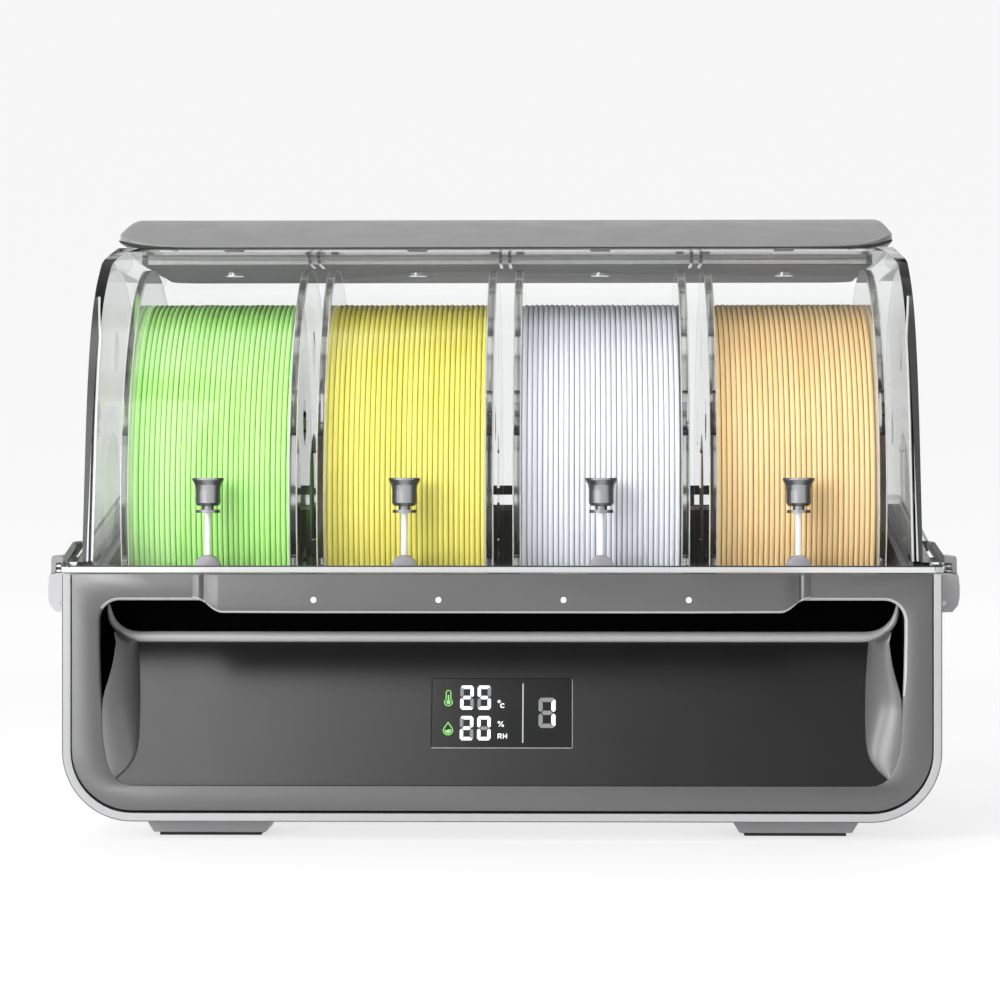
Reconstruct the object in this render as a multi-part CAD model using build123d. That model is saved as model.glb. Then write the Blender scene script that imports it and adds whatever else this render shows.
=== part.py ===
from build123d import *
import os
from math import sin, cos, tan, radians, sqrt, pi

# ---------------------------------------------------------------- driving dimensions (mm)
# Frame: X to the right, Y to the rear, Z up, origin under the middle of the body on the table.
# Positions along the depth are given as d, the distance behind the front face of the body.
MID = 147.0            # d of the origin
DEPTH = 288.0          # body depth
HALF_W = 179.0         # half width of the outer shell
SHELL_T = 3.4          # wall of the outer shell
SHELL_Z = 8.0          # underside of the shell
SHELL_R = 28.7         # lower outer corner radius
SPLIT_FRONT = 109.2    # height of the lid split at the front
SPLIT_REAR = 137.0     # height of the lid split at the rear
SPLIT_D1, SPLIT_D2 = 25.0, 183.0   # start and end of the rising part of the split
FLANGE_T = 4.5         # lid flange thickness
FLANGE_X = 180.0       # lid flange half width
LID_X = 170.0          # lid wall half width
TOP_Z = 264.0          # overall height
LATCH_X = 189.75       # outer face of the latches
SPOOL_R, SPOOL_W, FLANGE_W = 100.0, 74.0, 3.5
WIND_R, HUB_R, BORE_R = 85.0, 40.0, 27.5
SPOOL_D, SPOOL_Z = 138.0, 141.0
PITCH = 82.0
SLOTS = [-1.5 * PITCH, -0.5 * PITCH, 0.5 * PITCH, 1.5 * PITCH]
ROLL_R, ROLL_ANG = 9.0, 35.0
INLET_D = 36.5
TROUGH_R = 102.0
WALL = 3.0
DECK_Z, REAR_DECK_Z = 106.5, 134.3
PIN_D, PIN_Z = 291.5, 139.5          # lid hinge axis
LP_X, LP_Z = 183.5, 96.0             # latch pivot
POCKET_X, POCKET_TOP, POCKET_BOTTOM = 163.0, 99.0, 23.0

os.makedirs("parts", exist_ok=True)


def save(shape, name):
    if isinstance(shape, (list, tuple)):
        shape = Compound(children=list(shape))
    shape.label = name
    export_step(shape, f"parts/{name}.step")


def box(x0, x1, d0, d1, z0, z1):
    return Pos((x0 + x1) / 2, (d0 + d1) / 2 - MID, (z0 + z1) / 2) * Box(x1 - x0, d1 - d0, z1 - z0)


def cyl_x(r, x0, x1, d, z):
    return Pos((x0 + x1) / 2, d - MID, z) * Rot(0, 90, 0) * Cylinder(r, x1 - x0)


def cyl_y(r, d0, d1, x, z):
    return Pos(x, (d0 + d1) / 2 - MID, z) * Rot(90, 0, 0) * Cylinder(r, d1 - d0)


def cyl_z(r, z0, z1, x, d):
    return Pos(x, d - MID, (z0 + z1) / 2) * Cylinder(r, z1 - z0)


def side_face(pts, x0, smooth=None):
    plane = Plane(origin=(x0, -MID, 0), x_dir=(0, 1, 0), z_dir=(1, 0, 0))
    if smooth:
        edges = []
        for kind, p in smooth:
            edges.append(Spline(*p) if kind == "s" else Polyline(*p))
        return plane * make_face(edges)
    return plane * make_face(Polyline(*pts, close=True))


def side_prism(pts, x0, x1, smooth=None):
    return extrude(side_face(pts, x0, smooth), amount=x1 - x0)


def front_prism(pts, d0, d1):
    plane = Plane(origin=(0, d0 - MID, 0), x_dir=(1, 0, 0), z_dir=(0, -1, 0))
    return extrude(plane * make_face(Polyline(*pts, close=True)), amount=-(d1 - d0))


def plan_rect(x, d0, d1, r, z0=0.0, z1=300.0):
    s = RectangleRounded(2 * x, d1 - d0, r) if r else Rectangle(2 * x, d1 - d0)
    return Pos(0, (d0 + d1) / 2 - MID, z0) * extrude(s, amount=z1 - z0)


def split_line(off):
    return [(-20, SPLIT_FRONT + off), (SPLIT_D1, SPLIT_FRONT + off),
            (SPLIT_D2, SPLIT_REAR + off), (330, SPLIT_REAR + off)]


def above_split(off, top=400):
    return side_prism(split_line(off) + [(330, top), (-20, top)], -220, 220)


def split_band(lo, hi):
    return side_prism(split_line(lo) + split_line(hi)[::-1], -220, 220)


def below_split(off):
    return side_prism(split_line(off) + [(330, -10), (-20, -10)], -220, 220)


ROLL_C = SPOOL_R + ROLL_R + 0.3
ROLLERS = [(SPOOL_D - ROLL_C * sin(radians(ROLL_ANG)), SPOOL_Z - ROLL_C * cos(radians(ROLL_ANG))),
           (SPOOL_D + ROLL_C * sin(radians(ROLL_ANG)), SPOOL_Z - ROLL_C * cos(radians(ROLL_ANG)))]

# ---------------------------------------------------------------- outer shell
outer = box(-HALF_W, HALF_W, 0, DEPTH, SHELL_Z, 200)
outer = fillet([e for e in outer.edges().filter_by(Axis.Y) if e.center().Z < SHELL_Z + 1], SHELL_R)
inner = box(-HALF_W + SHELL_T, HALF_W - SHELL_T, -5, DEPTH + 5, SHELL_Z + SHELL_T, 210)
inner = fillet([e for e in inner.edges().filter_by(Axis.Y) if e.center().Z < SHELL_Z + SHELL_T + 1],
               SHELL_R - SHELL_T)
shell = outer - inner
shell = shell - above_split(-0.4)
for sx in (-1, 1):
    # locating posts for the rear panel
    for z in (34, 108):
        shell += cyl_y(5.2, 256, 283.8, sx * 171.2, z)
    # latch ear
    xs = sorted([sx * (HALF_W - 0.5), sx * LP_X])
    ear = box(xs[0], xs[1], 46, 58, LP_Z - 2.6, LP_Z + 2.6) + cyl_y(2.6, 46, 58, sx * LP_X, LP_Z)
    shell += ear
    shell -= cyl_y(1.25, 40, 64, sx * LP_X, LP_Z)
# posts for the main board
BOARD = (-34, 34, 92, 190)
for x in (-30, 30):
    for d in (98, 184):
        shell += cyl_z(3.2, SHELL_Z + SHELL_T - 0.2, 17.0, x, d)
        shell -= cyl_z(1.2, 12.5, 18, x, d)
save(shell, "outer_shell")

# ---------------------------------------------------------------- front bezel, display panel
LEAN_T = 27.0 / 57.0


def lean_d(z):
    return (z - POCKET_BOTTOM) * LEAN_T


def scoop(off):
    """Hollow in front of the leaning display panel, grown by off."""
    g = off * 1.11
    secs = [(24.0, 0.5, 158.5, 150.0), (30.0, lean_d(30), 162.2, 149.0), (45.0, lean_d(45), 163, 148.5),
            (62.0, lean_d(62), 163, 149.5), (80.0, lean_d(80), 163, 151.5), (84.5, 30.0, 163, 152.5)]
    faces = []
    for z, D, W, w in secs:
        D += g
        W += off
        w += off * 0.6
        pr = [(W, 0.0)] + [(W - (W - w) * (1 - cos(t)), D * sin(t)) for t in (pi / 8, pi / 4, 3 * pi / 8)] + [(w, D)]
        pl = [(-x, y) for x, y in pr[::-1]]
        edges = [Line((-W, -4.0), (W, -4.0)), Line((W, -4.0), (W, 0.0)), Spline(*pr), Line((w, D), (-w, D)),
                 Spline(*pl), Line((-W, 0.0), (-W, -4.0))]
        zz = z - (off if z == 24.0 else 0)
        faces.append(Pos(0, -MID, zz) * make_face(edges))
    return loft(faces)


ring_out = box(-175.45, 175.45, 0, 3, 12.4, SPLIT_FRONT - 0.4)
ring_out = fillet([e for e in ring_out.edges().filter_by(Axis.Y) if e.center().Z < 14], 25.1)
up_out = box(-POCKET_X - 2.4, POCKET_X + 2.4, 0, 33.5, 84.5, POCKET_TOP + 2.4)
up_out = fillet([e for e in up_out.edges().filter_by(Axis.Y) if e.center().Z > 90], 9.6)
up_in = box(-POCKET_X, POCKET_X, -5, 31.5, 84.5, POCKET_TOP)
up_in = fillet([e for e in up_in.edges().filter_by(Axis.Y) if e.center().Z > 90], 7.2)
sc0 = scoop(0)
sc2 = scoop(2.4)
bezel = (ring_out + up_out) - up_in - sc2
save(bezel, "front_bezel")

front_half = box(-200, 200, 0, 60, 0, 84.5)
panel = (sc2 & front_half) - sc0
LEAN = radians(25.346)
n_d, n_z = -cos(LEAN), sin(LEAN)
SCREEN_Z = 51.6
scr_d = lean_d(SCREEN_Z)


def lean_box(w, h, t0, t1, zc, xc=0.0):
    """Box standing on the leaning panel: from t0 to t1 along the inward normal."""
    d = lean_d(zc)
    c = (xc, d - MID - n_d * (t0 + t1) / 2, zc - n_z * (t0 + t1) / 2)
    pl = Plane(origin=c, x_dir=(1, 0, 0), z_dir=(0, n_d, n_z))
    return pl * Box(w, h, t1 - t0)


panel -= lean_box(57.6, 30.7, -3, 1.2, SCREEN_Z)
panel -= lean_box(50, 24, 0, 6, SCREEN_Z)
save(panel, "display_panel")
save(lean_box(57.3, 30.4, 0.0, 1.2, SCREEN_Z), "screen_glass")
save(lean_box(72, 36, 2.9, 4.5, SCREEN_Z), "display_board")

# ---------------------------------------------------------------- light bar with four status lights
bar_pts = [(-125.8, 108.8), (-125.8, 99.0), (-123.5, 98.6), (-120.5, 97.3), (-117.5, 94.8), (-115, 93.4), (-112.6, 93.0)]
bar = front_prism(bar_pts + [(-x, z) for x, z in bar_pts[::-1]], -3, 0)
bar += box(-112.6, 112.6, -1, 2.0, 93.0, 98.7)
ends = [e for e in bar.edges().filter_by(Axis.Z) if abs(abs(e.center().X) - 125.8) < 0.1 and e.center().Y < -149]
bar = chamfer(ends, 2.4)
LIGHTS = [-76.2, -25.4, 25.4, 76.2]
pipes = []
for x in LIGHTS:
    bar -= cyl_y(1.15, -5, 5, x, 98.4)
    pipes.append(cyl_y(1.1, -3.0, -0.2, x, 98.4))
save(bar, "light_bar")
save(pipes, "status_light_pipes")

# ---------------------------------------------------------------- inner tray
def tray_air(off, x):
    a = cyl_x(TROUGH_R + off, -x, x, SPOOL_D, SPOOL_Z)
    for d, z in ROLLERS:
        a += cyl_x(11.5 + off, -x, x, d, z)
    a += box(-x, x, -20, 70, DECK_Z - off, 300)
    a += box(-x, x, 200, 320, REAR_DECK_Z - off, 300)
    a += box(-x, x, 60, 220, 141, 300)
    return a


env = box(-169, 169, 3.4, 283.8, 20, 200)
tray = (tray_air(WALL, 169) - tray_air(0, 166)) & env
rim = plan_rect(175.3, 3.4, 283.8, 3, 0, 300) - plan_rect(166, 11, 276, 3, -1, 301)
rim = rim & split_band(-3.4, -0.4)
tray = tray & below_split(-0.4)
tray = tray + rim
groove = (plan_rect(173.6, 5.2, 282.0, 3, 0, 300) - plan_rect(171.2, 7.6, 279.6, 1.5, -1, 301)) & split_band(-2.4, 1)
tray = tray - groove
for x in (-PITCH, 0, PITCH):
    for d, z in ROLLERS:
        tray += box(x - 1.5, x + 1.5, d - 8, d + 8, 38.4, z + 6)
for d, z in ROLLERS:
    tray -= cyl_x(3.05, -180, 180, d, z)
BOXES = [(-150, -20), (20, 150)]
for x0, x1 in BOXES:
    tray -= box(x0 + 1.8, x1 - 1.8, 248.8, 274.8, 120, 140)
for x in SLOTS:
    tray -= cyl_z(1.7, 100, 110, x, INLET_D)
save(tray, "inner_tray")

seal = (plan_rect(173.5, 5.3, 281.9, 2.9, 0, 300) - plan_rect(171.3, 7.5, 279.7, 1.6, -1, 301)) & split_band(-2.35, -0.3)
save(seal, "rim_seal")

# ---------------------------------------------------------------- rear panel with hinge lugs
rear = box(-175.4, 175.4, 284, DEPTH, 12.4, SPLIT_REAR - 0.4)
rear = fillet([e for e in rear.edges().filter_by(Axis.Y) if e.center().Z < 14], 25.1)
HINGES = (-105.0, 105.0)
for hx in HINGES:
    for a, b in ((-20.0, -14.0), (14.0, 20.0)):
        lug = side_prism([(286, 122), (288, 119), (296, 130), (296, PIN_Z), (287, PIN_Z), (287, 136.6), (286, 136.6)],
                         hx + a, hx + b)
        lug += cyl_x(4.5, hx + a, hx + b, PIN_D, PIN_Z)
        rear += lug
        rear -= cyl_x(1.62, hx + a - 1, hx + b + 1, PIN_D, PIN_Z)
OUT_Z = 17.0
for x in SLOTS:
    rear -= cyl_y(4.05, 280, 292, x, OUT_Z + 4)
FAN_Z = 60.0
for i in range(9):
    z = FAN_Z - 24 + i * 6
    hw = sqrt(max(27.0 ** 2 - (z - FAN_Z) ** 2, 25))
    rear -= box(-hw, hw, 280, 290, z - 1.3, z + 1.3)
# power inlet opening
rear -= box(118, 146, 280, 290, 52, 72)
save(rear, "rear_panel")
save(box(118.2, 145.8, 270, 287.6, 52.2, 71.8) - box(121, 143, 276, 290, 55, 69)
     + cyl_y(1.2, 274, 285, 126, 62) + cyl_y(1.2, 274, 285, 138, 62), "power_socket")

# ---------------------------------------------------------------- feet
FEET = [(sx * 121.2, d) for sx in (-1, 1) for d in (43.0, 245.0)]
feet, pads = [], []
for x, d in FEET:
    f = front_prism([(x - 27.2, 8.0), (x + 27.2, 8.0), (x + 23.2, 1.5), (x - 23.2, 1.5)], d - 17, d + 17)
    feet.append(f)
    pads.append(box(x - 21, x + 21, d - 14, d + 14, 0, 1.5))
save(feet, "feet")
save(pads, "foot_pads")

# ---------------------------------------------------------------- feeders under the front deck
housings, motors, tubes, funnels, seats, outlets = [], [], [], [], [], []
GEAR_D, GEAR_Z, GEAR_R = 43.5, 50.0, 6.0
PINCH_D, PINCH_R = 32.5, 3.0
TUBE_R = 1.35
for i, x in enumerate(SLOTS):
    h = box(x - 16, x + 16, 27, 57, 26, 70) - box(x - 14, x + 14, 29, 55, 28, 68)
    h -= cyl_z(1.45, 20, 80, x, INLET_D)
    h -= cyl_x(1.56, x - 20, x + 20, GEAR_D, GEAR_Z)
    h -= cyl_x(1.06, x - 20, x + 20, PINCH_D, GEAR_Z)
    housings.append(h)
    m = cyl_x(11, x + 16, x + 42, GEAR_D + 0.5, GEAR_Z) + cyl_x(4, x + 41, x + 44, GEAR_D + 0.5, GEAR_Z)
    m -= cyl_x(1.58, x + 15, x + 26, GEAR_D, GEAR_Z)
    motors.append(m)
    g = cyl_x(GEAR_R, x - 4, x + 4, GEAR_D, GEAR_Z)
    g -= Pos(x, GEAR_D - MID, GEAR_Z) * Rot(0, 90, 0) * Torus(GEAR_R + 0.55, 0.95)
    for k in range(20):
        a = 2 * pi * k / 20
        g -= cyl_x(0.45, x - 5, x + 5, GEAR_D + GEAR_R * cos(a), GEAR_Z + GEAR_R * sin(a))
    g += cyl_x(1.5, x - 15.8, x + 25, GEAR_D, GEAR_Z)
    save(g, f"drive_gear_{i + 1}")
    p = cyl_x(PINCH_R, x - 4, x + 4, PINCH_D, GEAR_Z) + cyl_x(1.0, x - 15.8, x + 15.8, PINCH_D, GEAR_Z)
    save(p, f"pinch_wheel_{i + 1}")
    # inlet tube from the funnel down into the feeder
    t = cyl_z(TUBE_R, 66.0, 139.5, x, INLET_D) - cyl_z(0.95, 60, 150, x, INLET_D)
    tubes.append(t)
    # outlet tube from the feeder to the rear
    pl = Plane(origin=(x, -MID, 0), x_dir=(0, 1, 0), z_dir=(1, 0, 0))
    l1 = Line((INLET_D, 30.0), (INLET_D, OUT_Z + 4 + 5))
    l2 = RadiusArc((INLET_D, OUT_Z + 4 + 5), (INLET_D + 5, OUT_Z + 4), -5)
    l3 = Line((INLET_D + 5, OUT_Z + 4), (286.0, OUT_Z + 4))
    if abs(l2.tangent_at(0).Y) < 0.9:
        l2 = RadiusArc((INLET_D, OUT_Z + 4 + 5), (INLET_D + 5, OUT_Z + 4), 5)
    path = pl * Wire([l1, l2, l3])
    sec = Plane(origin=(x, INLET_D - MID, 30.0), z_dir=(0, 0, -1)) * (Circle(TUBE_R) - Circle(0.95))
    tubes.append(sweep(sec, path=path))
    # bell-mouthed inlet funnel
    prof = [(1.40, 133.6), (5.0, 133.6), (5.0, 134.9), (2.5, 134.9), (2.5, 136.4), (4.4, 136.6), (5.2, 137.8),
            (5.2, 143.2), (5.5, 145.2), (6.65, 147.3), (6.65, 148.2), (5.6, 148.2), (3.6, 145.6), (2.2, 142.5),
            (1.40, 140.2)]
    f = revolve(Plane.XZ * make_face(Polyline(*prof, close=True)), Axis.Z)
    funnels.append(Pos(x, INLET_D - MID, 0) * f)
    s = cyl_z(5.2, DECK_Z, 112.3, x, INLET_D) + Pos(x, INLET_D - MID, 112.3) * Sphere(5.2)
    s = s & box(x - 6, x + 6, INLET_D - 6, INLET_D + 6, DECK_Z, 120)
    s -= cyl_z(1.40, 100, 120, x, INLET_D)
    seats.append(s)
    o = cyl_y(4.0, 280, 297, x, OUT_Z + 4) + cyl_y(6.0, 288, 292, x, OUT_Z + 4)
    o -= cyl_y(1.40, 279, 286.2, x, OUT_Z + 4)
    o -= cyl_y(2.05, 286.2, 299, x, OUT_Z + 4)
    outlets.append(o)
save(housings, "feeder_housings")
save(motors, "feeder_motors")
save(tubes, "guide_tubes")
save(funnels, "inlet_funnels")
save(seats, "inlet_seats")
save(outlets, "outlet_couplers")

# ---------------------------------------------------------------- electronics, heater, fan
board = box(BOARD[0], BOARD[1], BOARD[2], BOARD[3], 17.0, 18.6)
board += box(-26, -8, 100, 122, 18.4, 22) + box(4, 24, 96, 108, 18.4, 24) + box(-10, 10, 140, 160, 18.4, 20.5)
board += cyl_z(4, 18.4, 27, 22, 130) + cyl_z(4, 18.4, 27, 22, 142)
save(board, "main_board")
frame_ = box(-30, 30, 269, 283.9, FAN_Z - 30, FAN_Z + 30) - cyl_y(28.3, 260, 282.3, 0, FAN_Z)
ring = cyl_y(28.3, 282.3, 284.2, 0, FAN_Z) - cyl_y(11, 280, 285, 0, FAN_Z)
for k in range(3):
    a = 90 + 120 * k
    ring -= Pos(0, 283 - MID, FAN_Z) * Rot(0, a, 0) * Pos(15, 0, 0) * Box(30, 5, 4)
frame_ -= ring
frame_ -= cyl_y(1.56, 280, 283.5, 0, FAN_Z)
save(frame_, "fan_frame")
rotor = cyl_y(10.5, 271, 281.8, 0, FAN_Z) + cyl_y(1.5, 281, 283.3, 0, FAN_Z)
for k in range(7):
    blade = Pos(0, 276.4 - MID, FAN_Z) * Rot(0, k * 360 / 7, 0) * Pos(18.6, 0, 0) * Rot(32, 0, 0) * Box(17.5, 1.4, 13.0)
    rotor += blade & box(-40, 40, 270.5, 281.8, 20, 100)
rotor = rotor & cyl_y(27.6, 260, 290, 0, FAN_Z)
save(rotor, "fan_rotor")
heater = box(-30, 30, 251, 269, FAN_Z - 30, FAN_Z + 30) - box(-26, 26, 240, 280, FAN_Z - 26, FAN_Z + 26)
for k in range(9):
    z = FAN_Z - 21.6 + k * 5.4
    heater += box(-26.5, 26.5, 254, 266, z - 0.6, z + 0.6)
for xx in (-14, 14):
    heater += box(xx - 2, xx + 2, 255, 265, FAN_Z - 26.5, FAN_Z + 26.5)
save(heater, "heater")
save([box(x0 + 2, x1 - 2, 249, 274.6, 104, 135) - box(x0 + 3.6, x1 - 3.6, 250.6, 273.0, 106, 134)
      + box(x0, x1, 247, 275.8, REAR_DECK_Z, 136.0) for x0, x1 in BOXES], "desiccant_boxes")
save(box(-9, 9, 250, 266, 129.7, 131.3) + box(-4, 4, 254, 262, 127, 129.9), "humidity_sensor")

# ---------------------------------------------------------------- roller axles and pins
save([cyl_x(3.0, -168.5, 168.5, d, z) for d, z in ROLLERS], "roller_axles")
pins = [cyl_y(1.2, 37, 67, sx * LP_X, LP_Z) for sx in (-1, 1)]
pins += [cyl_x(1.6, hx - 20, hx + 20, PIN_D, PIN_Z) for hx in HINGES]
save(pins, "pivot_pins")

# ---------------------------------------------------------------- spools, windings, rollers
for i, x in enumerate(SLOTS):
    s = cyl_x(HUB_R, x - SPOOL_W / 2, x + SPOOL_W / 2, SPOOL_D, SPOOL_Z)
    for sx in (-1, 1):
        a = x + sx * (SPOOL_W / 2)
        b = x + sx * (SPOOL_W / 2 - FLANGE_W)
        fl = cyl_x(SPOOL_R, min(a, b), max(a, b), SPOOL_D, SPOOL_Z)
        for k in range(6):
            t = 2 * pi * k / 6 + pi / 6
            fl -= cyl_x(9, min(a, b) - 1, max(a, b) + 1, SPOOL_D + 64 * cos(t), SPOOL_Z + 64 * sin(t))
        s += fl
    s -= cyl_x(BORE_R, x - 40, x + 40, SPOOL_D, SPOOL_Z)
    save(s, f"spool_{i + 1}")
    w = cyl_x(WIND_R, x - SPOOL_W / 2 + FLANGE_W, x + SPOOL_W / 2 - FLANGE_W, SPOOL_D, SPOOL_Z)
    w -= cyl_x(HUB_R, x - 40, x + 40, SPOOL_D, SPOOL_Z)
    save(w, f"filament_{i + 1}")
    for nm, (d, z) in zip(("front", "rear"), ROLLERS):
        r = cyl_x(5.0, x - 38.7, x + 38.7, d, z)
        for c in (x - 35.25, x + 35.25):
            r += cyl_x(ROLL_R, c - 3.4, c + 3.4, d, z)
        r -= cyl_x(3.06, x - 50, x + 50, d, z)
        save(r, f"{nm}_roller_{i + 1}")

# ---------------------------------------------------------------- clear lid
LSCREW = [-124.3, -41.3, 41.3, 124.3]
LSCREW_D = 172.0
f_out = [(8, 100), (8.2, 113), (10.6, 140), (14, 172), (18.2, 192), (24, 208), (34, 223), (45, 232), (60, 240.6), (78, 247)]
f_in = [(11.6, 100), (11.7, 113), (14.1, 140), (17.5, 171.4), (21.6, 190.8), (27.1, 206.4), (36.4, 220.3), (46.9, 229),
        (61.4, 237.5), (80, 244.5)]
r_out = [(246, 247), (259, 240.5), (269.5, 225), (276.5, 200), (281, 172), (284, 141.5)]
r_in = [(244.5, 244.5), (256.7, 237.9), (266.4, 223.4), (273.2, 199), (277.6, 171.4), (280.5, 141.5)]
lid_out = side_prism(None, -LID_X, LID_X, [("s", f_out), ("l", [f_out[-1], r_out[0]]), ("s", r_out),
                                           ("l", [r_out[-1], (284, 100), (8, 100)])])
lid_in = side_prism(None, -LID_X + 3.5, LID_X - 3.5, [("s", f_in), ("l", [f_in[-1], r_in[0]]), ("s", r_in),
                                                      ("l", [r_in[-1], (280.5, 100), (11.6, 100)])])
lid_out = lid_out & front_prism([(-170, 90), (170, 90), (170, 241), (168.4, 248), (-168.4, 248), (-170, 241)], 0, 300)
lid_in = lid_in & front_prism([(-166.5, 90), (166.5, 90), (166.5, 238), (164.6, 246), (-164.6, 246), (-166.5, 238)], 0, 300)
flange = plan_rect(FLANGE_X, 0.0, 286.4, 6, 0, 300) & split_band(0, FLANGE_T)
for sx in (-1, 1):
    xs = sorted([sx * 177.0, sx * 190])
    flange -= box(xs[0], xs[1], 33.6, 70.4, 80, 140)
lid = flange + (lid_out & above_split(0))
lid = lid - lid_in
for x in LSCREW:
    lid -= cyl_z(4.6, 240, 260, x, LSCREW_D)
for x in (-PITCH, 0, PITCH):
    for o in (-2.0, 2.0):
        lid += side_prism([(81, 246), (81, 243.5), (88, 240.4), (116.5, 240.4), (116.5, 246)], x + o - 0.7, x + o + 0.7)
save(lid, "lid_shell")

# opaque top panel over the clear lid, inner plate below it
t_out = [(78, 247.6), (90, 252.6), (105, 257.6), (125, 261.8), (150, 264), (180, 264), (205, 261.5), (226, 256), (246, 247.6)]
top = side_prism(None, -170, 170, [("s", t_out), ("l", [t_out[-1], (246, 247.0), (78, 247.0), (78, 247.6)])])
top = top & front_prism([(-168.3, 240), (168.3, 240), (168.2, 251.5), (165.9, 260.5), (164.6, 262.9), (162, TOP_Z),
                         (-162, TOP_Z), (-164.6, 262.9), (-165.9, 260.5), (-168.2, 251.5)], 0, 300)
top = top & plan_rect(168.4, 78, 246, 14)
t_in = [(90, 249.8), (105, 255.2), (125, 259.4), (150, 261.6), (180, 261.6), (205, 259.1), (224, 253.6), (233, 249.8)]
hollow = side_prism(None, -161, 161, [("s", t_in), ("l", [t_in[-1], (233, 244), (90, 244), (90, 249.8)])])
hollow = hollow & plan_rect(161, 89, 234, 8)
for x in LSCREW:
    hollow -= cyl_z(4.5, 240, 262, x, LSCREW_D)
top -= hollow
for x in LSCREW:
    top -= cyl_z(1.5, 240, 257, x, LSCREW_D)
    top += cyl_z(4.5, 244.5, 247.2, x, LSCREW_D) - cyl_z(1.5, 240, 257, x, LSCREW_D)
save(top, "top_panel")

plate = box(-160, 160, 117, 246, 242.3, 244.5)
plate = fillet([e for e in plate.edges().filter_by(Axis.Z) if e.center().Y > 246 - MID - 1], 12)
plate = plate & lid_in
for x in LSCREW:
    plate -= cyl_z(1.65, 240, 250, x, LSCREW_D)
save(plate, "lid_inner_plate")
save([cyl_z(1.45, 242.0, 256.5, x, LSCREW_D) + cyl_z(4.2, 240.7, 242.3, x, LSCREW_D)
      - cyl_z(1.4, 240, 241.6, x, LSCREW_D) for x in LSCREW], "lid_screws")

hbar = box(-140, 140, 283.9, 287.0, 141.5, 146.0)
hbar = hbar - lid_out
for hx in HINGES:
    arm = side_prism([(284.6, 141.5), (284.6, 146), (288.5, 146), (294.6, 142.4), (291.5, 139.5), (289.5, 141.5)],
                     hx - 13.5, hx + 13.5) + cyl_x(4.2, hx - 13.5, hx + 13.5, PIN_D, PIN_Z)
    hbar += arm
    hbar -= cyl_x(1.66, hx - 15, hx + 15, PIN_D, PIN_Z)
save(hbar, "lid_hinge_bar")

# ---------------------------------------------------------------- latches
L0, L1 = 36.0, 68.0
for sx, nm in ((-1, "left"), (1, "right")):
    def lx(u):
        return sx * (LP_X + u)
    lev = front_prism([(lx(-3.7), LP_Z), (lx(-3.7), 108.6), (lx(5.2), 108.6), (lx(5.95), 107.2), (lx(6.25), 103),
                       (lx(6.25), 98.5), (lx(5.6), 95.2), (lx(3.2), 92.4), (lx(0), 92.4)], L0, L1)
    lev += cyl_y(3.7, L0, L1, lx(0), LP_Z)
    xs = sorted([lx(-5), lx(3.4)])
    lev -= box(xs[0], xs[1], 45.6, 58.4, 85, 101.5)
    lev -= cyl_y(1.26, L0 - 1, L1 + 1, lx(0), LP_Z)
    save(lev, f"latch_lever_{nm}")
    sl = (SPLIT_REAR - SPLIT_FRONT) / (SPLIT_D2 - SPLIT_D1)

    def fz(d):
        return SPLIT_FRONT + (d - SPLIT_D1) * sl
    xs = sorted([lx(-6.1), lx(5.2)])
    hk = side_prism([(L0, 108.6), (L1, 108.6), (L1, fz(L1) + FLANGE_T + 1.6), (L0, fz(L0) + FLANGE_T + 1.6)], xs[0], xs[1])
    cut = front_prism([(lx(-8), 108), (lx(-3.7), 108), (lx(-3.7), 160), (lx(-8), 160)], L0 - 1, L1 + 1)
    hk -= cut & side_prism([(L0 - 2, 100), (L1 + 2, 100), (L1 + 2, fz(L1 + 2) + FLANGE_T - 1.4),
                            (L0 - 2, fz(L0 - 2) + FLANGE_T - 1.4)], -220, 220)
    # bevelled outer top edge following the split
    hk -= front_prism([(lx(5.3), 111.5), (lx(5.3), 160), (lx(-1.0), 160), (lx(-1.0), 126)], L0 - 1, L1 + 1)
    save(hk, f"latch_hook_{nm}")
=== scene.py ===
import math
import random

import bmesh
import bpy
from mathutils import Matrix, Vector


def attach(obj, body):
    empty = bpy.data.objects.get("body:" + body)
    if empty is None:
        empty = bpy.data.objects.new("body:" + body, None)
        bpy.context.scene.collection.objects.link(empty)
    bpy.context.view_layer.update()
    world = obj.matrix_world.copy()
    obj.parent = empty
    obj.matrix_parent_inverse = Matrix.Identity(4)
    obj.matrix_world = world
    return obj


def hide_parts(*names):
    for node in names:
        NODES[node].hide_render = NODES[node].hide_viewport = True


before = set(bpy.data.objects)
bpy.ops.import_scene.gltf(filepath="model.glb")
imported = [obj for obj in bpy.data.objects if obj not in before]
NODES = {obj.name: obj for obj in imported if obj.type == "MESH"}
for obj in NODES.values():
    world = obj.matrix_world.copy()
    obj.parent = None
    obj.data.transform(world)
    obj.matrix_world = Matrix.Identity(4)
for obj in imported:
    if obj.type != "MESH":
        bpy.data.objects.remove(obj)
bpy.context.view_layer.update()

random.seed(7)
MID = 0.147


# ------------------------------------------------------------------ materials
def new_mat(name):
    m = bpy.data.materials.new(name)
    m.use_nodes = True
    nt = m.node_tree
    bsdf = nt.nodes["Principled BSDF"]
    return m, nt, bsdf


def coords(nt):
    tc = nt.nodes.new("ShaderNodeTexCoord")
    return tc.outputs["Object"]


def noise(nt, vec, scale, detail=2.0, rough=0.5, stretch=None):
    if stretch:
        mp = nt.nodes.new("ShaderNodeMapping")
        mp.inputs["Scale"].default_value = stretch
        nt.links.new(vec, mp.inputs["Vector"])
        vec = mp.outputs["Vector"]
    n = nt.nodes.new("ShaderNodeTexNoise")
    n.inputs["Scale"].default_value = scale
    n.inputs["Detail"].default_value = detail
    n.inputs["Roughness"].default_value = rough
    nt.links.new(vec, n.inputs["Vector"])
    return n.outputs["Fac"]


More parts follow.
